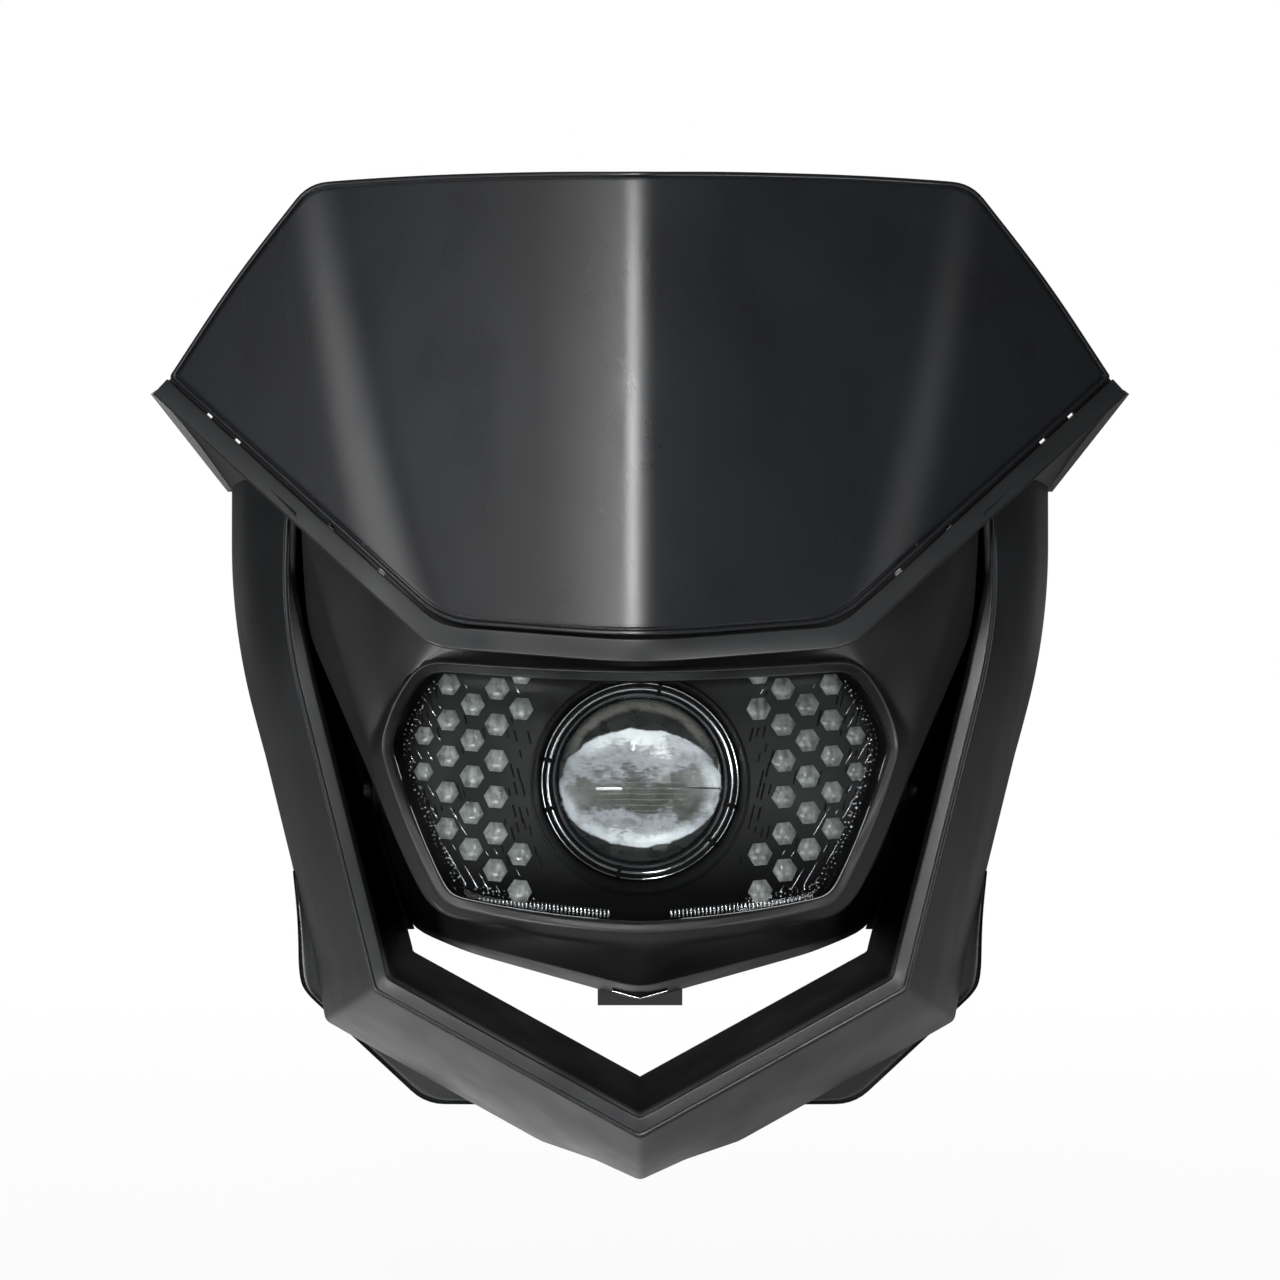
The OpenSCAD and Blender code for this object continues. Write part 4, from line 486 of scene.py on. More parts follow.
def arms():
    """Both arms and the V below them: a wall section carried down the crease, mitred at the corners."""
    z = np.append(np.linspace(46, CORNER_Z + 5, 59), CORNER_Z)
    side = np.stack([arm_x(z), z], -1)
    leg = mix(side[-1], np.array([0, TIP_Z]), np.append(np.linspace(0.06, 0.94, 30), 1)[:, None])
    half = np.concatenate([side, leg])
    path = np.concatenate([half, half[-2::-1] * [-1, 1]])
    before = np.concatenate([path[1:2] - path[:1], path[1:] - path[:-1]])
    after = np.concatenate([path[1:] - path[:-1], path[-1:] - path[-2:-1]])
    right = np.array([[0, -1], [1, 0]])
    a, b = -unit(before) @ right, -unit(after) @ right
    middle = unit(a + b)
    normal = middle / np.maximum((middle * a).sum(-1, keepdims=True), 0.5)
    height = path[:, 1]
    k = np.clip((height - TIP_Z) / 10, 0, 1)
    d = crease_depth(height)
    flare, rear = mix(15.7, 22.6, k) + 2.3 * eased(-height, 92, 104), np.minimum(d + mix(40, 56, k), 95)
    strip = 1.4 + 3.2 * eased(-height, -28, 8)
    wall = slope(5.5) * 45
    one = np.ones_like(d)
    outer = [(flare - 3, rear + 16), (flare, rear), (flare * 0.52 + 1.6, mix(d, rear, 0.46)), (0.5 * one, d + 0.55),
             (0.15 * one, d + 0.7), (-0.05 * one, d + 0.1), (-0.45 * one, d - 0.05), (-0.8 * one, d + 0.15),
             (-0.95 * one, d + 0.75), (-1.15 * one, d + 0.7), (-strip, d + 1.7), (-4.6 - wall * one, d + 45)]
    inner = [(2.6 - 4.6 - wall * one, d + 45), (2.6 - strip, d + 5.2), (1.2 * one, d + 3.6),
             (flare * 0.52 - 1.0, mix(d, rear, 0.46) + 1.4), (flare - 2.6, rear + 0.8), (flare - 5.6, rear + 16)]
    out, depth = (np.stack([q[c] for q in outer + inner], 1) for c in (0, 1))
    plane = path[:, None] + normal[:, None] * out[..., None]
    lift = 7 * np.clip(out / 22, 0, 1) ** 0.8 * eased(height, -30, 41)[:, None]
    plane[..., 1] += lift
    points = rounded(solid(plane, depth), [0, 3, 60, 0.5, 0, 0, 0, 0, 0, 0.2, 0.6, 0, 0, 0, 0, 10, 0, 0], True, 7, 1)
    bend = [0.0] * len(path)
    for i in (59, len(half) - 1, len(path) - 60):
        bend[i] = 1.6
    return rounded(points, bend, False, 5, 0)


def ear():
    """Underside and side wall of the right ear: a ruled surface from the band's lip to the arm's top."""
    lip = offset(LOW_EDGE, 6.6, False)
    k = np.linspace(0, 1, 40)[:, None]
    start, end = mix(lip[3], lip[4], 0.47), lip[4]
    front = mix(start, end, k)
    edge = mix(LOW_EDGE[3], LOW_EDGE[4], mix(0.47, 1.0, k))
    a = solid(front, plate_depth(edge) + 0.6)
    root = np.array([129.0, 95.0, 47.6])
    first = np.array([start[0] + 1.0, crease_depth(40) + 1.5, 40.5])
    b = mix(first, root, k) + np.array([0, 0, 1.0]) * (4 * k * (1 - k)) * 1.5
    c = np.stack([b[:, 0] - 3 * k[:, 0], mix(b[:, 1] + 6, 111.0, k[:, 0]), b[:, 2] + 1], -1)
    rows = a[:, None] + (b - a)[:, None] * np.linspace(0, 1, 16)[:, None]
    rows = rows + (rows[:, :1] * 0 + [0, 0, 1.0]) * (np.sin(np.linspace(0, np.pi, 16))[:, None] * 1.2)
    under = np.concatenate([rows, c[:, None]], 1)
    t = np.linspace(-0.02, 1, 14)[:, None]
    tip = mix(a[-1], root, t) + [-0.6, 0.6, 0.4]
    side = np.stack([tip, tip + [-3.0, 15.0, 1.0]], 1)
    return [walled(under, 2.4), walled(side, 2.2)]


FLANGE_OUTER = np.array([[108, -72], [106.5, -86.8], [106.2, -103.5], [104.8, -109], [87.2, -125.4], [66.8, -144.4],
                         [50, -144.5]])
FLANGE_INNER = np.array([[103.2, -66], [97.6, -88], [92.5, -108.8], [89.3, -112.8], [71.6, -122.9], [57.6, -129.4],
                         [48.9, -133.5]])


def foot_flange():
    """Flared plate behind a lower corner, with a rolled bead along its outer edge."""
    a, b = FLANGE_INNER[:, None], FLANGE_OUTER[:, None]
    shares = np.array([0, 0.5, 0.88, 0.95, 1.0, 0.99, 0.95, 0.5, 0])[:, None]
    depth = np.array([76, 80.5, 84, 83.4, 82.6, 85.6, 87.2, 83, 78.4])
    plane = a + (b - a) * shares
    points = np.stack([plane[..., 0], np.broadcast_to(depth, plane.shape[:2]), plane[..., 1]], -1)
    points = rounded(points, [0, 8, 5, 5, 12, 6, 0], False, 6, 0)
    points = rounded(points, [0, 0, 3, 0.8, 1.2, 1.2, 1, 0, 0], True, 5, 1)
    return stepped(points, 3.0)


# Lamp opening and shroud

def bowed(a, b, k, bulge):
    """Point at share k from a to b, pushed sideways by 4 k (1 - k) times the bulge."""
    way = unit(b - a)
    return mix(a, b, k[:, None]) + np.array([-way[1], way[0]]) * (bulge * 4 * k * (1 - k))[:, None]


def opening(count=288):
    """Outline of the lamp opening, clockwise from the middle of its top edge, evenly stepped and eased."""
    top, side, low = np.array([61.5, -8.9]), np.array([72.1, -31.0]), np.array([54.6, -72.4])
    k = np.arange(5) / 4
    rise = np.stack([61.5 * 0.94 * k, -11.9 + 3 * 0.9 * k ** 1.6], -1)
    foot = np.arange(1, 5) / 5
    run = mix(low + [-2, -0.9], np.array([0, -79.4]), foot[:, None]) - np.stack(
        [0 * foot, 4.4 * foot * (1 - foot)], -1)
    half = np.concatenate([
        rise, [top - [1, 0.6]], bowed(top + [1.5, -2.5], side, np.arange(4) / 4, 1.4),
        bowed(side, low + [1, 1.6], np.arange(6) / 6, 1.2), [low + [1, 1.6], low + [-1.2, -0.8]], run, [[0, -79.4]]])
    path = np.concatenate([half, half[-2:0:-1] * [-1, 1]])
    path = rounded(path, [1.5] * len(path), True, 4)
    ahead = np.linalg.norm(np.roll(path, -1, 0) - path, axis=1)
    at = np.concatenate([[0], np.cumsum(ahead)])
    step = np.linspace(0, at[-1], count, endpoint=False)
    closed = np.concatenate([path, path[:1]])
    path = np.stack([np.interp(step, at, closed[:, c]) for c in (0, 1)], -1)
    for _ in range(3):
        path = path * 0.5 + (np.roll(path, 1, 0) + np.roll(path, -1, 0)) * 0.25
    return path


def opening_depth(p, set_back=0.0):
    """Raked and swept plane of the lamp's front: rake with the height, sweep with the square of x."""
    return 4.3 + slope(11.7) * (p[..., 1] + 79.4) + 12.1 * (p[..., 0] / 72.1) ** 2 + set_back


def rim_depth(p):
    """Front of the rim, which leans far less than the opening."""
    return 2 + 0.025 * (p[..., 1] + 79.4) + 18.4 * (p[..., 0] / 72.1) ** 2


OPENING = opening()


def under_band(x):
    """Height and depth of the line just behind the band's lip."""
    line = offset(LOW_EDGE, 6.3, False)[2:]
    edge = LOW_EDGE[2:]
    return (np.interp(x, line[:, 0], line[:, 1]),
            plate_depth(np.stack([x, np.interp(x, edge[:, 0], edge[:, 1])], -1)) + 2.3)


def wall_x(z, depth):
    """Inner wall of the arms at a height and depth."""
    return arm_x(z) - 4.6 - slope(5.5) * (depth - crease_depth(z) - 2.6)


def shroud_keys():
    """Shroud at shares of the way round: shoulder growth and set-back, then edge and rear x, z and depth."""
    x = np.array([0.0, 59.5, 73.5])
    z, d = under_band(x)
    top, mid = wall_x(31.0, crease_depth(31.0) + 2.6) - 0.6, wall_x(3.0, crease_depth(3.0) + 2.6) - 0.6
    rear = [wall_x(height, 68.0) - 0.6 for height in (38.0, 3.0)]
    tz, td = (float(v) for v in under_band(np.array(top)))
    return np.array([
        [0, 0.2, 4, 0, z[0], d[0] + 1, 0, z[0] + 6, 36],
        [0.36, 0.2, 4, x[1], z[1], d[1], x[1] + 2, z[1] + 4, 54],
        [0.42, 1.2, 5, x[2], z[2], d[2], x[2] - 2, z[2] + 5, 68],
        [0.46, 3.5, 3.8, top, tz, td, rear[0], 38, 68],
        [0.485, 3.5, 3.8, top, tz, td, rear[0], 38, 68],
        [0.52, 4, 3.8, mid, 3, crease_depth(3.0) + 3.2, rear[1], 2, 68],
        [0.6, 4, 3.8, 87, -20, 38, 88.5, -21, 68],
        [0.67, 4, 3.8, 76.6, -42, 31, 80.1, -43, 68],
        [0.74, 3.6, 3.8, 74.1, -66, 40, 77.1, -66, 67],
        [0.795, 1.8, 4, 64.4, -86.8, 50, 70, -87.5, 64],
        [0.84, 3, 4, 52, -89.6, 42, 52, -94.3, 59],
        [1, 3.5, 4, 0, -100.3, 22, 0, -107.5, 48]])


def shroud():
    """Closed sections round the opening: inner wall, rim, shoulder, cheek or chin, and rear edge."""
    keys, count = shroud_keys(), len(OPENING)
    index = np.arange(count)
    share = np.minimum(index, count - index) / (count / 2)
    side = np.where(index <= count / 2, 1.0, -1.0)
    value = np.stack([np.interp(share, keys[:, 0], keys[:, c]) for c in range(9)])
    value[[3, 6]] *= side
    for _ in range(4):
        value[1:] = value[1:] * 0.5 + (np.roll(value[1:], 1, 1) + np.roll(value[1:], -1, 1)) * 0.25
    p, r = OPENING, offset(OPENING, -3.4, True)
    shoulder = r - (offset(OPENING, -3.4, True) - offset(OPENING, -2.4, True)) * -value[1][:, None]
    front = rim_depth(r)
    edge = np.stack([value[3], value[5], value[4]], -1)
    rear = np.stack([value[6], value[8], value[7]], -1)
    rim = [solid(p, opening_depth(p) + 2.2), solid(p, opening_depth(p)), solid(mix(p, r, 0.14), mix(opening_depth(p), front, 0.5)),
           solid(mix(p, r, 0.76), front), solid(r, front + 0.9), solid(shoulder, front + value[2])]
    outer = np.stack(rim[5:] + [edge, rear], 1)
    centre = np.array([0, 40, -45.0])
    normal = grid_normals(outer)
    inside = outer - normal * 2.2 * np.sign((normal * (outer - centre)).sum(-1).mean())
    under = solid(mix(p, r, 0.55), np.maximum(front + 3.2, opening_depth(p) + 2.2))
    points = np.concatenate([np.stack(rim, 1), outer[:, 1:], inside[:, ::-1], under[:, None]], 1)
    fold = (0.8 + 8.2 * eased(share, 0.5, 0.6) * eased(-share, -0.87, -0.73))[:, None]
    radii = [0, 0.5, 0.6, 1.1, 1.0, 3.0, fold, 0, 0, 6, 0, 0]
    points = rounded(points, radii, True, 7, 1)
    return stepped(points, 6.0, True, 1)


def chin_bead(radius, sink):
    """Thin tube along the chin's underside, more than half way from its front edge to its rear edge."""
    edge, rear = (shroud_keys()[[-1, -2]][:, columns] for columns in ([3, 5, 4], [6, 8, 7]))
    x = np.linspace(-8.1, 8.1, 15)
    line = np.stack([x] + [np.interp(np.abs(x), [0, 52], mix(edge, rear, 0.6)[:, c]) for c in (1, 2)], -1)
    turn = np.linspace(0, 2 * np.pi, 12, endpoint=False)
    ring = np.stack([0 * turn, radius * np.cos(turn), radius * np.sin(turn) + sink], -1)
    return line[:, None] + ring


def recess_floor():
    """Floor between the rear edge of the shroud and the inner wall of the right arm, carried down the side."""
    z = np.linspace(27, -88, 60)
    keys = shroud_keys()[4:10]
    inner = np.interp(z, keys[::-1, 7], keys[::-1, 6])
    outer = wall_x(z, 68.0) - 0.9
    inner = np.minimum(outer - 2, inner - 1.1)
    corners = [(inner, 65.0), (outer, 65.0), (outer, 67.2), (inner, 67.2)]
    return np.stack([solid(np.stack([x, z], -1), d) for x, d in corners], 1)


# Bosses, lugs and webs behind the mask

def boss(x, z, front, back, radius, hole=0.0, blind=10.0):
    """Round boss along the depth with softened edges and a blind hole from its rear."""
    bore = [(hole, back), (hole, back - blind), (0, back - blind - 0.4)] if hole else [(0, back)]
    return spun([(0, front), (radius - 0.4, front), (radius, front + 0.4), (radius, back - 0.3),
                 (radius - 0.3, back)] + bore, x, z, 32), True, False, False


def web(x_a, depths_a, x_b, depths_b, z, thick):
    """Plate of even thickness between two upright edges at x_a and x_b, each from one depth to another."""
    rows = [[[x, d, z + side * thick / 2] for d, side in ((near, -1), (far, -1), (far, 1), (near, 1))]
            for x, (near, far) in ((x_a, depths_a), (x_b, depths_b))]
    return np.array(rows, float), False, True, True


def across(profile, x, depth, z, count=40):
    """Profile of (radius, distance) carried round an axis along x, starting at x."""
    ring = spun(profile, 0, 0, count)
    return np.stack([x + ring[..., 1], depth + ring[..., 0], z + ring[..., 2]], -1)


def frame_bosses():
    """Four bosses that the brackets are screwed to, each tied to both walls of its arm."""
    made = []
    for z in (-30.0, 30.0):
        made += [boss(105.0, z, 87, 112, 5, 2.6, 14), web(float(wall_x(z, 87)) + 1.2, (72, 86), 104.5, (88, 104), z, 3),
                 web(104.5, (89, 105), float(arm_x(z)) + 18.1, (92, 101), z, 2.8)]
    return made


def shroud_lugs():
    """Lugs on the inner wall that the shroud is screwed to."""
    return [piece for x, z in SHROUD_FIX for piece in (
        boss(x, z, 68.3, 71.3, 4, 1.65, 2.6), web(x, (68.3, 71.3), float(wall_x(z, 68)) + 1.4, (68.3, 71.3), z, 9))]


def shroud_bosses():
    """Screw bosses, pivot bosses and the pad of the aiming screw on the rear of the shroud."""
    made = [boss(x, z, 61, 68, 4, 1.6, 4) for x, z in SHROUD_FIX]
    ring = across([(4.25, 0), (6.2, 0), (6.6, 0.4), (6.6, 4.6), (6.2, 5), (4.25, 5)], 74.6, 52.0, -45.0)
    made += [(ring, True, True, False), web(75.6, (57.8, 65.5), 80.6, (57.8, 65.5), -45, 11)]
    return made


SHROUD_FIX = [(94.0, 18.0), (73.9, -60.0)]


def both(parts):
    """Parts of the right side and their mirror images."""
    return [(grid, *rest) if k else (mirrored(grid), *rest) for grid, *rest in parts for k in (0, 1)]


# Clear cover, bezel and position lights

BEAM_Z = -41.2
MIDDLE = np.array([0.0, -45.65])


def cover():
    """Clear cover: a wall from the seal to the front, then the front as rings to its middle, and back inside."""
    outer, inner = offset(OPENING, -1.7, True), offset(OPENING, -0.75, True)
    rows = [solid(outer, 44.0), solid(outer, opening_depth(outer, 6.6))]
    for k in (0.012, 0.03, 0.1, 0.25, 0.45, 0.65, 0.85, 1.0):
        p = mix(outer, MIDDLE, k)
        rows.append(solid(p, opening_depth(p, 4.6 + 0.9 * np.exp(-k * 90))))
    for k in (1.0, 0.85, 0.65, 0.45, 0.25, 0.1, 0.0):
        p = mix(inner, MIDDLE, k)
        rows.append(solid(p, opening_depth(p, 6.8)))
    rows.append(solid(inner, 44.0))
    return np.stack(rows, 1)


def bezel_depth(p):
    """Front of the inner bezel, set back behind the opening."""
    return opening_depth(p, 9.5)


def around_beam(path, count=420):
    """Radius of an outline round the beam axis at even angles."""
    a = np.arctan2(path[:, 1] - BEAM_Z, path[:, 0])
    order = np.argsort(a)
    angle = np.linspace(-np.pi, np.pi, count, endpoint=False)
    return angle, np.interp(angle, a[order], np.hypot(path[:, 0], path[:, 1] - BEAM_Z)[order], period=2 * np.pi)


def bezel():
    """Bezel between the outline and the funnel, the funnel's bead and its wall down to the lens."""
    angle, far = around_beam(offset(OPENING, -0.6, True))
    way = np.stack([np.cos(angle), np.sin(angle)], -1)
    near = np.minimum(31.9, far - 0.35)
    axis = np.array([0.0, BEAM_Z])
    rows = []
    edge = axis + way * far[:, None]
    rows.append(solid(edge, bezel_depth(edge) + 1.6))
    for k in np.linspace(0, 1, 40):
        p = axis + way * mix(far, near, k)[:, None]
        rows.append(solid(p, bezel_depth(p)))
    for step, lift in ((0.25, -0.45), (0.6, -0.55), (0.95, -0.2)):
        p = axis + way * np.minimum(near - step, 31.9 - step)[:, None]
        rows.append(solid(p, bezel_depth(p) + lift))
    mouth = bezel_depth(axis + way * (near - 1)[:, None])
    for k in np.linspace(0.05, 1, 14):
        radius = mix(near - 1.0, 29.3, k ** 1.6)
        rows.append(solid(axis + way * radius[:, None], mix(mouth, 33.0, k)))
    rows.append(solid(axis + way * 29.3, 34.2))
    p = axis + way * far[:, None]
    rows.append(solid(p, np.maximum(34.2, bezel_depth(p) + 3.2)))
    return np.stack(rows, 1)


def hexagons():
    """Middles (x, z) and corner radii of the windows: staggered columns, smaller outwards."""
    rows = [[-1, 0, 4, 5], [0, 1, 2, 3, 4, 5], [0, 1, 2, 3, 4], [0, 1, 2, 3, 4], [1, 2]]
    made = [(34.5 + 7.15 * k, -13 - 10.4 * (j + (0.5 if k % 2 == 0 else 0)) - 0.6 * (3 - k),
             3.62 - 0.17 * max(k - 2, 0) ** 2) for k, row in enumerate(rows) for j in row]
    return np.array(made)


HEX = hexagons()


def inside_outline(p, margin):
    """Whether plane points lie inside the bezel's outline by a margin."""
    angle, far = around_beam(offset(OPENING, 1.1, True))
    a = np.arctan2(p[..., 1] - BEAM_Z, p[..., 0])
    return np.hypot(p[..., 0], p[..., 1] - BEAM_Z) < np.interp(a, angle, far, period=2 * np.pi) - margin


def prisms(middles, radii, corners, turn, low, high, apex=(0, 0), shrink=0.86):
    """Many small prisms at once: base ring, bevelled top ring and a top point moved off the middle."""
    a = np.radians(turn) + np.arange(corners) * 2 * np.pi / corners
    way = np.stack([np.cos(a), np.sin(a)], -1)
    count = len(middles)
    ring = middles[:, None] + way * radii[:, None, None]
    top = middles[:, None] + way * (radii * shrink)[:, None, None]
    tip = middles + np.asarray(apex) * radii[:, None]
    return count, ring, top, tip, low, high


def small_pieces(groups):
    """Vertices and faces of many prisms on the bezel, as whole arrays."""
    verts, quads, tris, base = [], [], [], 0
    for count, ring, top, tip, low, high in groups:
        m = ring.shape[1]
        levels = [(ring, low), (ring, mix(low, high, 0.6)), (top, high)]
        stack = np.concatenate([solid(p, bezel_depth(p) + h) for p, h in levels]
                               + [solid(tip, bezel_depth(tip) + high - 0.6 * np.abs(high) - 0.05)[:, None],
                                  solid(tip, bezel_depth(tip) + low)[:, None]], 1)
        verts.append(stack.reshape(-1, 3))
        j = np.arange(m)
        k = (j + 1) % m
        own = (np.arange(count) * (3 * m + 2))[:, None, None] + base
        side = np.stack([j, k, k + m, j + m], -1)
        quads.append(np.concatenate([side + own, side + m + own]).reshape(-1, 4))
        caps = np.concatenate([np.stack([j + 2 * m, k + 2 * m, 0 * j + 3 * m], -1),
                               np.stack([k, j, 0 * j + 3 * m + 1], -1)])
        tris.append((caps + own).reshape(-1, 3))
        base += stack.shape[0] * stack.shape[1]
    return np.concatenate(verts), np.concatenate(quads), np.concatenate(tris)


def scattered(name, groups, look, body, replaces=(), flat=True):
    """One mesh of many small closed pieces."""
    verts, quads, tris = small_pieces(groups)
    co = (verts - np.array([0, MOUNT_DEPTH, 0])) / 1000
    mesh = bpy.data.meshes.new(name)
    loops = np.concatenate([quads.ravel(), tris.ravel()])
    sizes = np.concatenate([np.full(len(quads), 4), np.full(len(tris), 3)])
    mesh.vertices.add(len(co))
    mesh.vertices.foreach_set("co", co.astype(np.float32).ravel())
    mesh.loops.add(len(loops))
    mesh.loops.foreach_set("vertex_index", loops.astype(np.int32))
    mesh.polygons.add(len(sizes))
    mesh.polygons.foreach_set("loop_start", (np.cumsum(sizes) - sizes).astype(np.int32))
    mesh.update(calc_edges=True)
    turned = bmesh.new()
    turned.from_mesh(mesh)
    bmesh.ops.recalc_face_normals(turned, faces=turned.faces)
    turned.to_mesh(mesh)
    turned.free()
    if not flat:
        mesh.shade_smooth()
    piece = bpy.data.objects.new(name, mesh)
    bpy.context.scene.collection.objects.link(piece)
    mesh.materials.append(look)
    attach(piece, body)
    if replaces:
        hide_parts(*replaces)
    return piece


def strokes(starts, ends, widths, low, high):
    """Long thin ridges between plane points, as prisms of four corners."""
    starts, ends = np.asarray(starts, float), np.asarray(ends, float)
    way = unit(ends - starts)
    across = np.stack([-way[:, 1], way[:, 0]], -1) * (np.asarray(widths, float) / 2)[:, None]
    ring = np.stack([starts - across, ends - across, ends + across, starts + across], 1)
    top = ring.mean(1, keepdims=True) + (ring - ring.mean(1, keepdims=True)) * np.array([0.97])
    return len(starts), ring, top, ring.mean(1), low, high


def hatch(side, seed):
    """Slanted engraved dashes between the windows and towards the funnel: broken parallel lines."""
    dice = np.random.default_rng(seed)
    column, along = np.meshgrid(np.arange(27.0, 66.0, 1.9), np.arange(-74.0, -8.0, 5.3), indexing="ij")
    start = np.stack([column + (along + 41) * 0.25, along], -1).reshape(-1, 2)
    start = start + dice.uniform(-0.5, 0.5, start.shape) * [0.5, 3.0]
    length = dice.uniform(1.6, 5.0, len(start))
    end = start - np.stack([length * 0.25, length * 0.97], -1)
    keep = dice.uniform(size=len(start)) < 0.8
    for p in (start, end):
        radius = np.hypot(p[:, 0], p[:, 1] - BEAM_Z)
        keep &= (radius > 33.2) & (p[:, 0] > 20) & inside_outline(p, 2.2) & (p[:, 1] > -66)
        gap = np.linalg.norm(p[:, None] - HEX[None, :, :2], axis=-1) - HEX[None, :, 2]
        keep &= gap.min(1) > 0.1
    width = dice.uniform(0.36, 0.6, len(start))
    flip = np.array([side, 1.0])
    return strokes(start[keep] * flip, end[keep] * flip, width[keep], -0.02 + 0.1, -0.06)


def rays(side, seed):
    """Bright parallel lines in a strip along the outer side, cut where they meet a window or the outline.

    Each line is walked in steps of 0.5, and its unbroken runs of kept steps make one stroke each.
    """
    dice = np.random.default_rng(seed)
    way, over = np.array([-0.53, -0.85]), np.array([0.85, -0.53])
    starts, ends = [], []
    for shift in np.arange(-42.0, 30.0, 2.45):
        p = np.array([55.0, -40.0]) + over * shift + way * np.arange(-60, 60, 0.5)[:, None]
        gap = np.linalg.norm(p[:, None] - HEX[None, :, :2], axis=-1) - HEX[None, :, 2]
        reach = 13.0 + 5.0 * eased(-p[:, 1], 40, 66) - 5.0 * eased(p[:, 1], -34, -16)
        kept = inside_outline(p, 2.4) & ~inside_outline(p, reach) & (gap.min(1) > 0.5) & (p[:, 0] > 34)
        kept &= np.sin(p[:, 1] * 0.37 + shift * 1.9 + dice.uniform(0, 6)) > -0.75
        edge = np.diff(np.concatenate([[0], kept.astype(int), [0]]))
        first, last = np.flatnonzero(edge == 1), np.flatnonzero(edge == -1) - 1
        long = last - first > 3
        starts.append(p[first[long]])
        ends.append(p[last[long]])
    start, end = np.concatenate(starts), np.concatenate(ends)
    flip = np.array([side, 1.0])
    return strokes(start * flip, end * flip, np.full(len(start), 0.2), 0.1, -0.12)


def edge_run(low_angle, high_angle, count, margin):
    """Points along the bezel's outline between two angles round the beam, set in by a margin."""
    angle, far = around_beam(offset(OPENING, 1.1, True))
    a = np.radians(np.linspace(low_angle, high_angle, count))
    r = np.interp(a, angle, far, period=2 * np.pi) - margin
    return np.stack([r * np.cos(a), BEAM_Z + r * np.sin(a)], -1)


def sparks(side, seed):
    """Row of tiny cut facets along the outer edge."""
    dice = np.random.default_rng(seed)
    p = np.concatenate([edge_run(-47, 27, 62, 1.2), edge_run(-47, 27, 58, 2.3), edge_run(-40, 20, 40, 3.2)])
    p = p + dice.uniform(-0.35, 0.35, p.shape)
    p = p[inside_outline(p, 0.9)] * np.array([side, 1.0])
    return prisms(p, dice.uniform(0.22, 0.5, len(p)), 4, 20, 0.1, -0.3, (0.2, 0.2), 0.4)


def ticks(side):
    """Upright bright bars above the bottom edge, taller towards the middle."""
    x = np.arange(9.0, 47.0, 1.12)
    angle, far = around_beam(offset(OPENING, 1.1, True), 2000)
    edge = np.stack([far * np.cos(angle), BEAM_Z + far * np.sin(angle)], -1)
    lower = edge[edge[:, 1] < -66]
    order = np.argsort(lower[:, 0])
    z = np.interp(x, lower[order, 0], lower[order, 1]) - 1.5
    tall = 2.6 - 1.4 * eased(x, 26, 46)
    flip = np.array([side, 1.0])
    low, high = np.stack([x, z], -1), np.stack([x - 0.05, z + tall], -1)
    return strokes(low * flip, high * flip, np.full(len(x), 0.62), 0.1, -0.3)


def fine_ribs(side, seed):
    """Fine upright ribs in the black lower area under the funnel."""
    dice = np.random.default_rng(seed)
    x = np.arange(2.0, 44.0, 0.95)
    low = -75.6 + 2.0 * (x / 44) ** 2
    start = np.stack([x, low], -1)
    end = np.stack([x, low + dice.uniform(2.5, 6.5, len(x))], -1)
    keep = inside_outline(start, 3.4) & (np.hypot(end[:, 0], end[:, 1] - BEAM_Z) > 33)
    gap = np.linalg.norm(end[:, None] - HEX[None, :, :2], axis=-1) - HEX[None, :, 2]
    keep &= gap.min(1) > 0.2
    flip = np.array([side, 1.0])
    return strokes(start[keep] * flip, end[keep] * flip, np.full(keep.sum(), 0.22), 0.1, -0.08)





# Projector

def dome():
    """Projector lens: spherical front of 24.8 radius and 12 height, edge and flat rear."""
    radius = (24.8 ** 2 + 12 ** 2) / 24
    a = np.linspace(0, math.asin(24.75 / radius), 30)
    front = np.stack([radius * np.sin(a), 22 + radius * (1 - np.cos(a))], -1)
    return np.concatenate([front, [[24.8, 34.4], [24.8, 36.6], [24.4, 37.0], [0, 37.0]]])


def optics():
    """Bowl behind the lens for the painted reflections: an ellipse sunk behind a dark front, on a disc as wide as the
    lens.
    """
    t = np.linspace(0, 2 * np.pi, 180, endpoint=False)
    rows = []
    for k, d in [(1.0, 40.0), (0.97, 37.5)]:
        rows.append(np.stack([24.6 * k * np.cos(t), d + 0 * t, BEAM_Z + 24.6 * k * np.sin(t)], -1))
    edge_x, edge_z = 23.4 * np.cos(t), -2.2 + 17.0 * np.sin(t)
    rows.append(np.stack([edge_x * 1.012, 37.7 + 0 * t, BEAM_Z + edge_z * 1.02], -1))
    for k in np.linspace(1, 0, 26):
        sink = 38.0 + 3.4 * (1 - k ** 2.2) ** 0.8
        rows.append(np.stack([edge_x * k, sink + 0 * t, BEAM_Z - 2.2 + (edge_z + 2.2) * k], -1))
    rows.append(np.stack([0 * t, 50.0 + 0 * t, BEAM_Z - 2.2 + 0 * t], -1))
    rows.append(np.stack([24.6 * np.cos(t), 50.0 + 0 * t, BEAM_Z + 24.6 * np.sin(t)], -1))
    return np.stack(rows, 1)


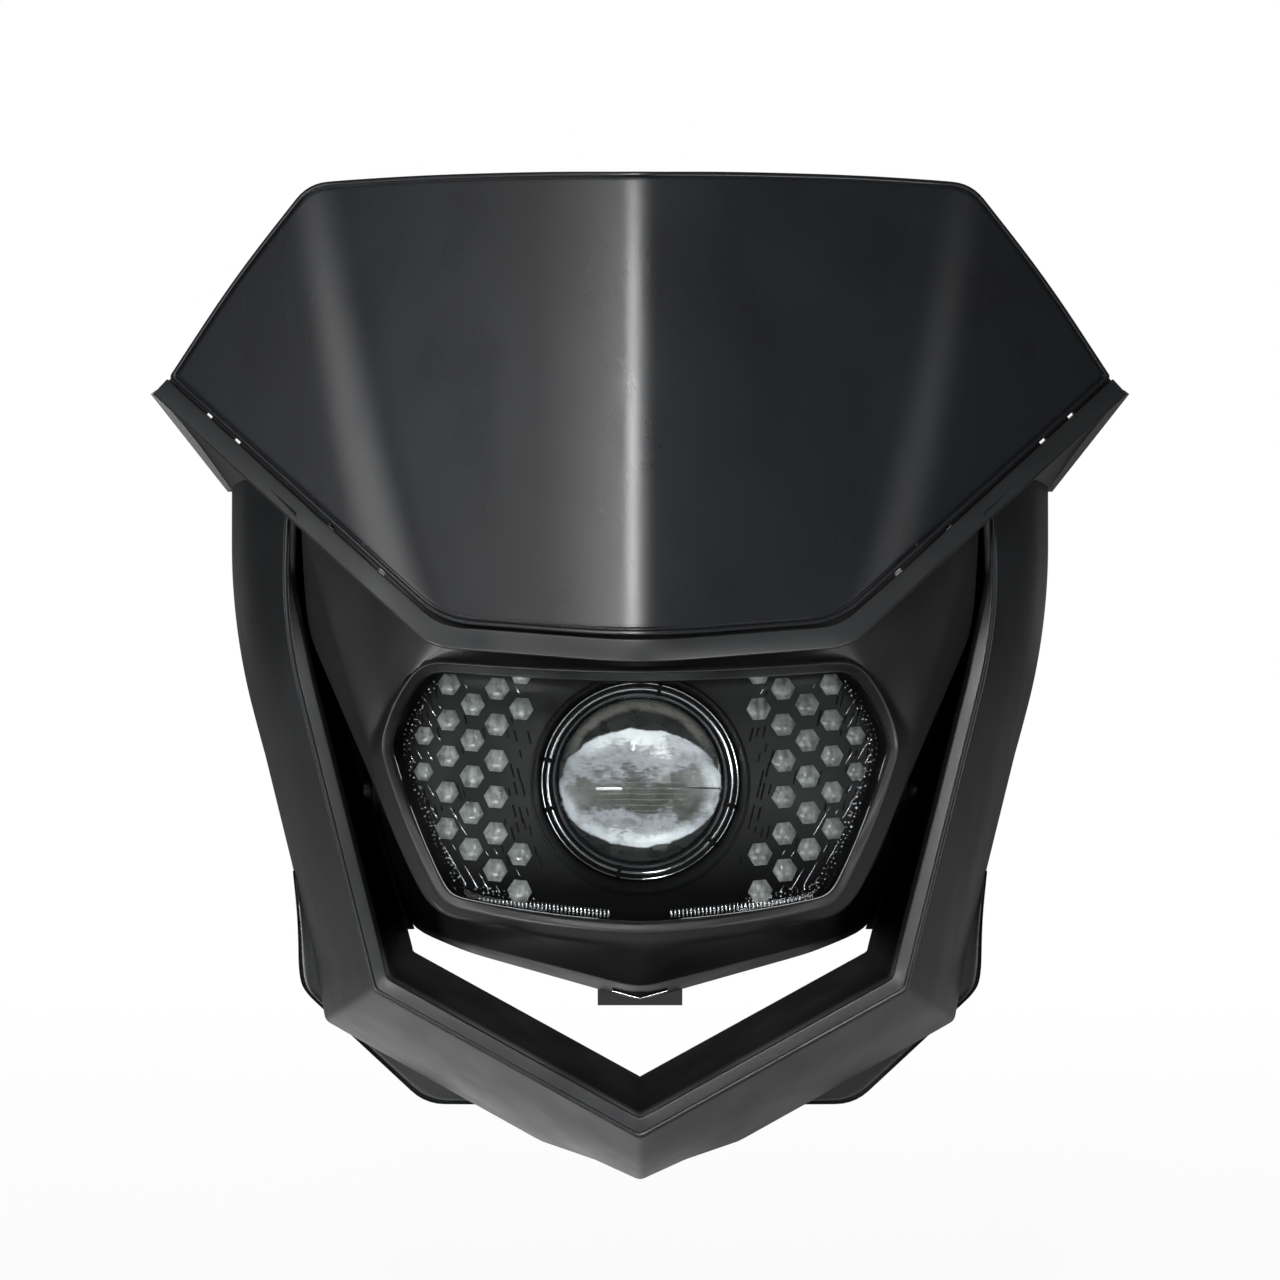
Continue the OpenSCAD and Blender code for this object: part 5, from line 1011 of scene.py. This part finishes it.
def optics_look():
    """Painted reflections in the bowl: white rim, brown-grey middle with fine level lines, dark ring and pale crescent
    round it.

    All bands follow the ellipse and the circle round the beam axis, in Object coordinates. They stand in for what the
    reflector bowl reflects, and the emission is a painted glow.
    """
    look = Look("bowl_painted_reflections")
    axes = look.node("SeparateXYZ", {0: look.place}).outputs
    x, z = look.math("MULTIPLY", axes[0], 1000.0), look.math("MULTIPLY", axes[2], 1000.0)

    def reach(half_x, half_z, middle):
        a = look.math("DIVIDE", x, half_x)
        b = look.math("DIVIDE", look.math("SUBTRACT", z, middle), half_z)
        return look.math("SQRT", look.math("ADD", look.math("MULTIPLY", a, a), look.math("MULTIPLY", b, b)))

    cloud = look.noise(190, 5, (1, 1, 1.6), 0.6)
    grey = [linear(v, v, v - w) for v, w in ((196, 0), (128, -4), (146, -6), (72, 4), (62, 5), (80, 4), (146, -6), (164, -6),
                                             (228, 0), (240, 0))]
    oval = look.math("ADD", reach(23.4, 17.0, BEAM_Z - 2.2), look.range(cloud, 0.3, 0.7, -0.03, 0.03))
    drift = look.math("ADD", look.range(look.noise(95, 4), 0.3, 0.7, -0.13, 0.13),
                      look.range(look.noise(420, 5, (1, 1, 3)), 0.3, 0.7, -0.05, 0.05))
    height = look.math("ADD", look.range(z, BEAM_Z - 19.2, BEAM_Z + 14.8, 0.0, 1.0), drift)
    inner = look.ramp(height, list(zip((0.02, 0.09, 0.2, 0.29, 0.45, 0.6, 0.68, 0.85, 0.93, 1.0), grey)))
    lines = look.node("TexWave", {"Vector": look.place, "Scale": 190.0, "Distortion": 1.4, "Detail": 2.0},
                      bands_direction="Z").outputs["Fac"]
    core = look.math("MULTIPLY", look.range(oval, 0.35, 0.7, 1.0, 0.0), look.range(lines, 0.86, 0.97, 0.0, 0.35))
    inner = look.node("MixRGB", {"Fac": core, "Color1": inner, "Color2": linear(150, 148, 142)}).outputs[0]
    # Painted reflection: a white rim round the ellipse.
    rim = look.math("MULTIPLY", look.range(oval, 0.78, 0.93, 0.0, 0.85),
                    look.range(look.noise(120, 4, (1, 1, 0.7)), 0.38, 0.55, 0.25, 1.0))
    inner = look.node("MixRGB", {"Fac": rim, "Color1": inner, "Color2": linear(218, 221, 226)}).outputs[0]
    smudge = look.math("MULTIPLY", look.range(look.noise(330, 5, (1, 1, 1), 0.65), 0.5, 0.62, 0.0, 0.35),
                       look.range(oval, 0.84, 0.97, 1.0, 0.0))
    inner = look.node("MixRGB", {"Fac": smudge, "Color1": inner, "Color2": linear(50, 50, 47)}).outputs[0]
    circle = reach(24.6, 24.6, BEAM_Z)
    ring = look.ramp(look.math("ADD", circle, look.range(cloud, 0.3, 0.7, -0.02, 0.02)),
                     [(0.0, linear(9)), (0.82, linear(9)), (0.87, linear(92, 89, 84)), (0.92, linear(80, 78, 74)),
                      (0.96, linear(24)), (1.0, linear(10))])
    # Painted reflection: the pale crescent shows only in the upper part of the ring.
    crescent_reflection = look.range(z, BEAM_Z + 4, BEAM_Z + 14, 0.0, 1.0)
    ring = look.node("MixRGB", {"Fac": crescent_reflection, "Color1": linear(12), "Color2": ring}).outputs[0]
    inside = look.range(oval, 1.0, 1.03, 1.0, 0.0)
    colour = look.node("MixRGB", {"Fac": inside, "Color1": ring, "Color2": inner}).outputs[0]
    # The emission is a painted glow.
    look.surface(Base_Color=colour, Roughness=look.range(cloud, 0.3, 0.7, 0.18, 0.4), Specular_IOR_Level=0.5,
                 Emission_Color=colour, Emission_Strength=0.26, Normal=look.bump(cloud, 0.0003, 0.35))
    return look.material


# Pieces of the mask

plate = mesh_piece("plate_shell", [(plate_shell(), False, True, False)] + [
    (rib(a, b, 2.0, 6.0), False, True, True) for a, b in
    [((34, 24), (34, 131)), ((-34, 24), (-34, 131)), ((36, 112), (86, 112)), ((-36, 112), (-86, 112)),
     ((-33, 112), (33, 112))]] + [
    (spun([(0, plate_depth(np.array([x, z])) + 2), (3.2, plate_depth(np.array([x, z])) + 2),
           (3.2, plate_depth(np.array([x, z])) + 9.4), (1.3, plate_depth(np.array([x, z])) + 9.4),
           (1.3, plate_depth(np.array([x, z])) + 5), (0, plate_depth(np.array([x, z])) + 5)], x, z, 28),
     True, False, False)
    for x, z in [(s * x, np.interp(x, [0, 57, 147.2], [0.5, 4.9, 82.2]) + 5.5) for s in (-1, 1) for x in (30, 78)]],
    plate_look, "mask", ["number_plate"])

flanges = foot_flange()
ears = ear()
mesh_piece("mask_shell",
           [(g, False, True, True) for g in band()] + [(arms(), False, True, True)]
           + both([(g, False, True, True) for g in [flanges] + ears] + frame_bosses() + shroud_lugs()),
           mask_look, "mask", ["mask_frame"])

mesh_piece("shroud_shell", [(shroud(), True, True, False), web(-12.0, (47, 66.7), 12.0, (47, 66.7), -100.2, 5)]
           + both(shroud_bosses()), shroud_look, "mask", ["lamp_shroud"])
# Painted shade and highlight: a black tube stands for the shaded chevron slot, and a bright tube below it for the
# slot's lit edge.
mesh_piece("chin_slot", [(chin_bead(1.2, 0.5), False, True, True)], black_and_shade_look, "mask")
mesh_piece("chin_slot_painted_highlight", [(chin_bead(0.3, -0.7), False, True, True)], bright_and_highlight_look, "mask")
# Painted shade: the recess floors are near black.
mesh_piece("recess_floors", both([(recess_floor(), False, True, True)]), black_and_shade_look, "mask")

# Pieces of the lamp

mesh_piece("clear_cover", [(cover(), True, False, False)], cover_look, "lamp", ["outer_lens"])
mesh_piece("bezel_shell", [(bezel(), True, True, False)], bezel_look, "lamp", ["inner_bezel"])
for side, name in ((-1, "left"), (1, "right")):
    flip = np.array([side, 1.0])
    scattered("hexagons_" + name, [prisms(HEX[:, :2] * flip, HEX[:, 2], 6, 4 * side, 0.6, -0.4,
                                          (0.2, -0.16), 0.96)],
              milk_look, "lamp", ["hex_diffuser_" + name])
    scattered("hatch_" + name, [hatch(side, 11 + side)], black_and_shade_look, "lamp")
    scattered("bright_marks_" + name, [rays(side, 21 + side), sparks(side, 31 + side), ticks(side),
                                       fine_ribs(side, 41 + side)], bright_and_highlight_look, "lamp")
mesh_piece("projector_dome", [(spun(dome(), 0, BEAM_Z, 128), True, False, False)], glass_look,
           "lamp", ["projector_lens"])
# The bowl's painted reflections and glow stand in for the reflector bowl and the shutter.
mesh_piece("bowl_face", [(optics(), False, False, False)], optics_look(), "lamp",
           ["reflector_bowl", "cutoff_shutter"])
mesh_piece("lens_tube", [(spun([(24.9, 33.6), (26.6, 33.4), (27.1, 34.0), (27.1, 61), (25.0, 61), (24.9, 60.5)], 0,
                               BEAM_Z, 128), True, True, False)], barrel_look, "lamp",
           ["lens_barrel"])
ring_profile = [(25.6, 32.8), (26.2, 32.4), (28.8, 32.3), (29.2, 32.8), (29.2, 33.8), (25.5, 33.8)]
mesh_piece("lens_ring_base", [(rounded(spun(ring_profile, 0, BEAM_Z, 160), [0.25] * 6, True, 3, 1), True, True,
                               False)], black_and_shade_look, "lamp", ["lens_ring"])
turn = np.linspace(0, 2 * np.pi, 12, endpoint=False)
wires = [spun(np.stack([r + w * np.cos(turn), 32.2 + w * np.sin(turn)], -1), 0, BEAM_Z, 192)
         for r, w in ((28.7, 0.32), (27.0, 0.5))]
mesh_piece("lens_ring_wires", [(g, True, True, False) for g in wires], ring_look, "lamp")
clips = []
for angle in (167.0, -163.0, -15.0, -40.0, -103.0, 78.0):
    a = math.radians(angle) + np.array([-0.022, 0.022])
    arc = [spun([(25.3, 33.5), (25.6, 31.4), (26.9, 30.8), (28.7, 30.8), (29.3, 31.6), (29.3, 33.5)], 0, BEAM_Z, 5,
                a[0], a[1] - a[0])]
    clips += [(g, False, True, True) for g in arc]
mesh_piece("ring_clips", clips, black_and_shade_look, "lamp")

# Finishes of the solids that stay as they are

steel = metal("screw_plating", linear(96, 98, 101), linear(160, 163, 166), 0.32)
dark_steel = metal("black_screw_coating", linear(14), linear(30), 0.45)
castings = {
    "plate_screws": steel, "shroud_screws": dark_steel, "bracket_screws": steel, "pivot_screw_left": dark_steel,
    "pivot_screw_right": dark_steel, "aim_screw": steel, "heat_sink_screws": steel, "projector_screws": steel,
    "cover_screws": steel, "aim_washer": steel,
    "bracket_left": metal("bracket_coating", linear(38, 39, 41), linear(62, 63, 66), 0.5, metallic=0.6),
    "bracket_sleeves": metal("sleeve_steel", linear(120, 122, 125), linear(176, 178, 180), 0.3, 700, (1, 4, 1)),
    "pivot_bush_left": moulded("bush_moulding", linear(18), linear(34), 0.5),
    "lens_gasket": moulded("seal_rubber", linear(12), linear(24), 0.7, 900, 0.00004),
    "position_board_left": circuit("position_board", linear(16, 60, 40), linear(52, 104, 70)),
    "emitter_board": circuit("white_board", linear(196, 196, 190), linear(150, 150, 146)),
    "position_lights": moulded("chip_phosphor", linear(226, 206, 120), linear(244, 230, 160), 0.35),
    "light_emitter": moulded("emitter_phosphor", linear(232, 196, 66), linear(246, 220, 110), 0.3),
    "heat_sink": metal("sink_casting", linear(112, 114, 117), linear(158, 160, 162), 0.42, 500, (1, 1, 3), 0.00006),
    "rear_housing": housing_look, "driver_cover": housing_look,
    "driver_board": circuit("driver_board", linear(16, 60, 40), linear(52, 104, 70)),
    "breather_vent": moulded("vent_rubber", linear(22), linear(38), 0.75, 1200, 0.00004),
    "connector_socket": moulded("socket_moulding", linear(12), linear(22), 0.4)}
castings["bracket_right"] = castings["bracket_left"]
castings["pivot_bush_right"] = castings["pivot_bush_left"]
castings["position_board_right"] = castings["position_board_left"]
for name, look in castings.items():
    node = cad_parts[name]
    node.data.materials.clear()
    node.data.materials.append(look)
    weld = node.modifiers.new("weld", "WELD")
    weld.merge_threshold = 0.00001
    bevel = node.modifiers.new("edges", "BEVEL")
    bevel.width = 0.0003
    bevel.segments = 2
    bevel.limit_method = "ANGLE"
    bevel.angle_limit = math.radians(40)

# Camera, background and lamps

camera = bpy.data.objects.new("camera", bpy.data.cameras.new("camera"))
bpy.context.scene.collection.objects.link(camera)
camera.location = (0, -0.868, 0)
camera.rotation_euler = (math.radians(90), 0, 0)
camera.data.sensor_width = 36
camera.data.sensor_fit = "HORIZONTAL"
camera.data.lens = 75.35
camera.data.clip_start = 0.01
bpy.context.scene.camera = camera

floor_look = Look("pale_floor")
paths = floor_look.node("LightPath").outputs
where = floor_look.node("SeparateXYZ", {0: floor_look.place}).outputs
near = floor_look.math("MULTIPLY", floor_look.range(where[0], -0.02, 0.06, 1.0, 0.2),
                       floor_look.range(where[1], 0.12, 0.4, 1.0, 0.12))
near = floor_look.math("MULTIPLY", near, floor_look.range(where[0], -0.4, -0.16, 0.2, 1.0))
mirrored_share = floor_look.math("MULTIPLY", paths["Is Glossy Ray"], near)
seen = floor_look.math("MAXIMUM", floor_look.math("MAXIMUM", paths["Is Camera Ray"], paths["Is Transmission Ray"]),
                       mirrored_share)
plain = floor_look.node("BsdfPrincipled", {"Base Color": (0.86, 0.86, 0.86, 1), "Roughness": 0.7})
glow = floor_look.node("Emission", {"Color": (1, 1, 1, 1), "Strength": 1.0})
white_share = floor_look.range(where[1], -0.1, 0.9, 0.93, 1.0)
blend = floor_look.node("MixShader", {0: floor_look.math("MULTIPLY", seen, white_share)})
floor_look.link(plain.outputs[0], blend.inputs[1])
floor_look.link(glow.outputs[0], blend.inputs[2])
floor_look.link(blend.outputs[0], floor_look.out.inputs["Surface"])
floor = bpy.data.meshes.new("floor")
floor.from_pydata([(-4, -3, -0.24), (4, -3, -0.24), (4, 5, -0.24), (-4, 5, -0.24)], [], [(0, 1, 2, 3)])
floor.materials.append(floor_look.material)
floor = bpy.data.objects.new("floor", floor)
bpy.context.scene.collection.objects.link(floor)

world = bpy.data.worlds.new("studio")
bpy.context.scene.world = world
world.use_nodes = True
sky, links = world.node_tree.nodes, world.node_tree.links
sky.clear()
ground, white, mixer = sky.new("ShaderNodeBackground"), sky.new("ShaderNodeBackground"), sky.new("ShaderNodeMixShader")
ground.inputs[0].default_value = (0.5, 0.5, 0.505, 1)
ground.inputs[1].default_value = 0.06
white.inputs[0].default_value = (1, 1, 1, 1)
rays, way, parts = (sky.new("ShaderNode" + kind) for kind in ("LightPath", "TexCoord", "SeparateXYZ"))
behind, share, most, every = (sky.new("ShaderNode" + kind) for kind in ("MapRange", "Math", "Math", "Math"))
links.new(way.outputs["Generated"], parts.inputs[0])
links.new(parts.outputs["Y"], behind.inputs["Value"])
for key, value in (("From Min", 0.8), ("From Max", 0.97), ("To Min", 0.03), ("To Max", 0.9)):
    behind.inputs[key].default_value = value
share.operation, most.operation, every.operation = "MULTIPLY", "MAXIMUM", "MAXIMUM"
links.new(behind.outputs[0], share.inputs[0])
links.new(rays.outputs["Is Glossy Ray"], share.inputs[1])
links.new(rays.outputs["Is Camera Ray"], most.inputs[0])
links.new(rays.outputs["Is Transmission Ray"], most.inputs[1])
links.new(most.outputs[0], every.inputs[0])
links.new(share.outputs[0], every.inputs[1])
links.new(every.outputs[0], mixer.inputs[0])
links.new(ground.outputs[0], mixer.inputs[1])
links.new(white.outputs[0], mixer.inputs[2])
links.new(mixer.outputs[0], sky.new("ShaderNodeOutputWorld").inputs[0])


def lamp(name, place, target, size, power, colour=(1, 1, 1)):
    """Soft square lamp at a place, turned towards a target."""
    data = bpy.data.lights.new(name, "AREA")
    data.shape, data.size, data.size_y = "RECTANGLE", size[0], size[1]
    data.energy, data.color = power, colour
    made = bpy.data.objects.new(name, data)
    bpy.context.scene.collection.objects.link(made)
    made.location = place
    made.rotation_euler = (Vector(target) - Vector(place)).to_track_quat("-Z", "Y").to_euler()


lamp("key_left", (-1.4, -1.02, 0.94), (0, -0.05, 0.0), (0.7, 0.7), 6)
lamp("key_right", (1.25, -0.95, 0.95), (0, -0.05, 0.0), (0.5, 0.5), 1.0)
lamp("strip_top", (-0.17, -1.2, 1.06), (0, -0.09, 0.07), (0.12, 0.7), 13)
lamp("front_left", (-0.8, -1.7, 0.1), (0, -0.05, -0.05), (0.5, 0.5), 3)
lamp("front_right", (0.8, -1.7, 0.1), (0, -0.05, -0.05), (0.5, 0.5), 9)
lamp("low_left", (-0.55, -0.9, -0.2), (0, 0, -0.1), (0.5, 0.06), 8)
lamp("low_right", (0.7, -0.8, -0.2), (0, 0, -0.1), (0.5, 0.06), 1)

bpy.context.scene.view_settings.view_transform = "Standard"
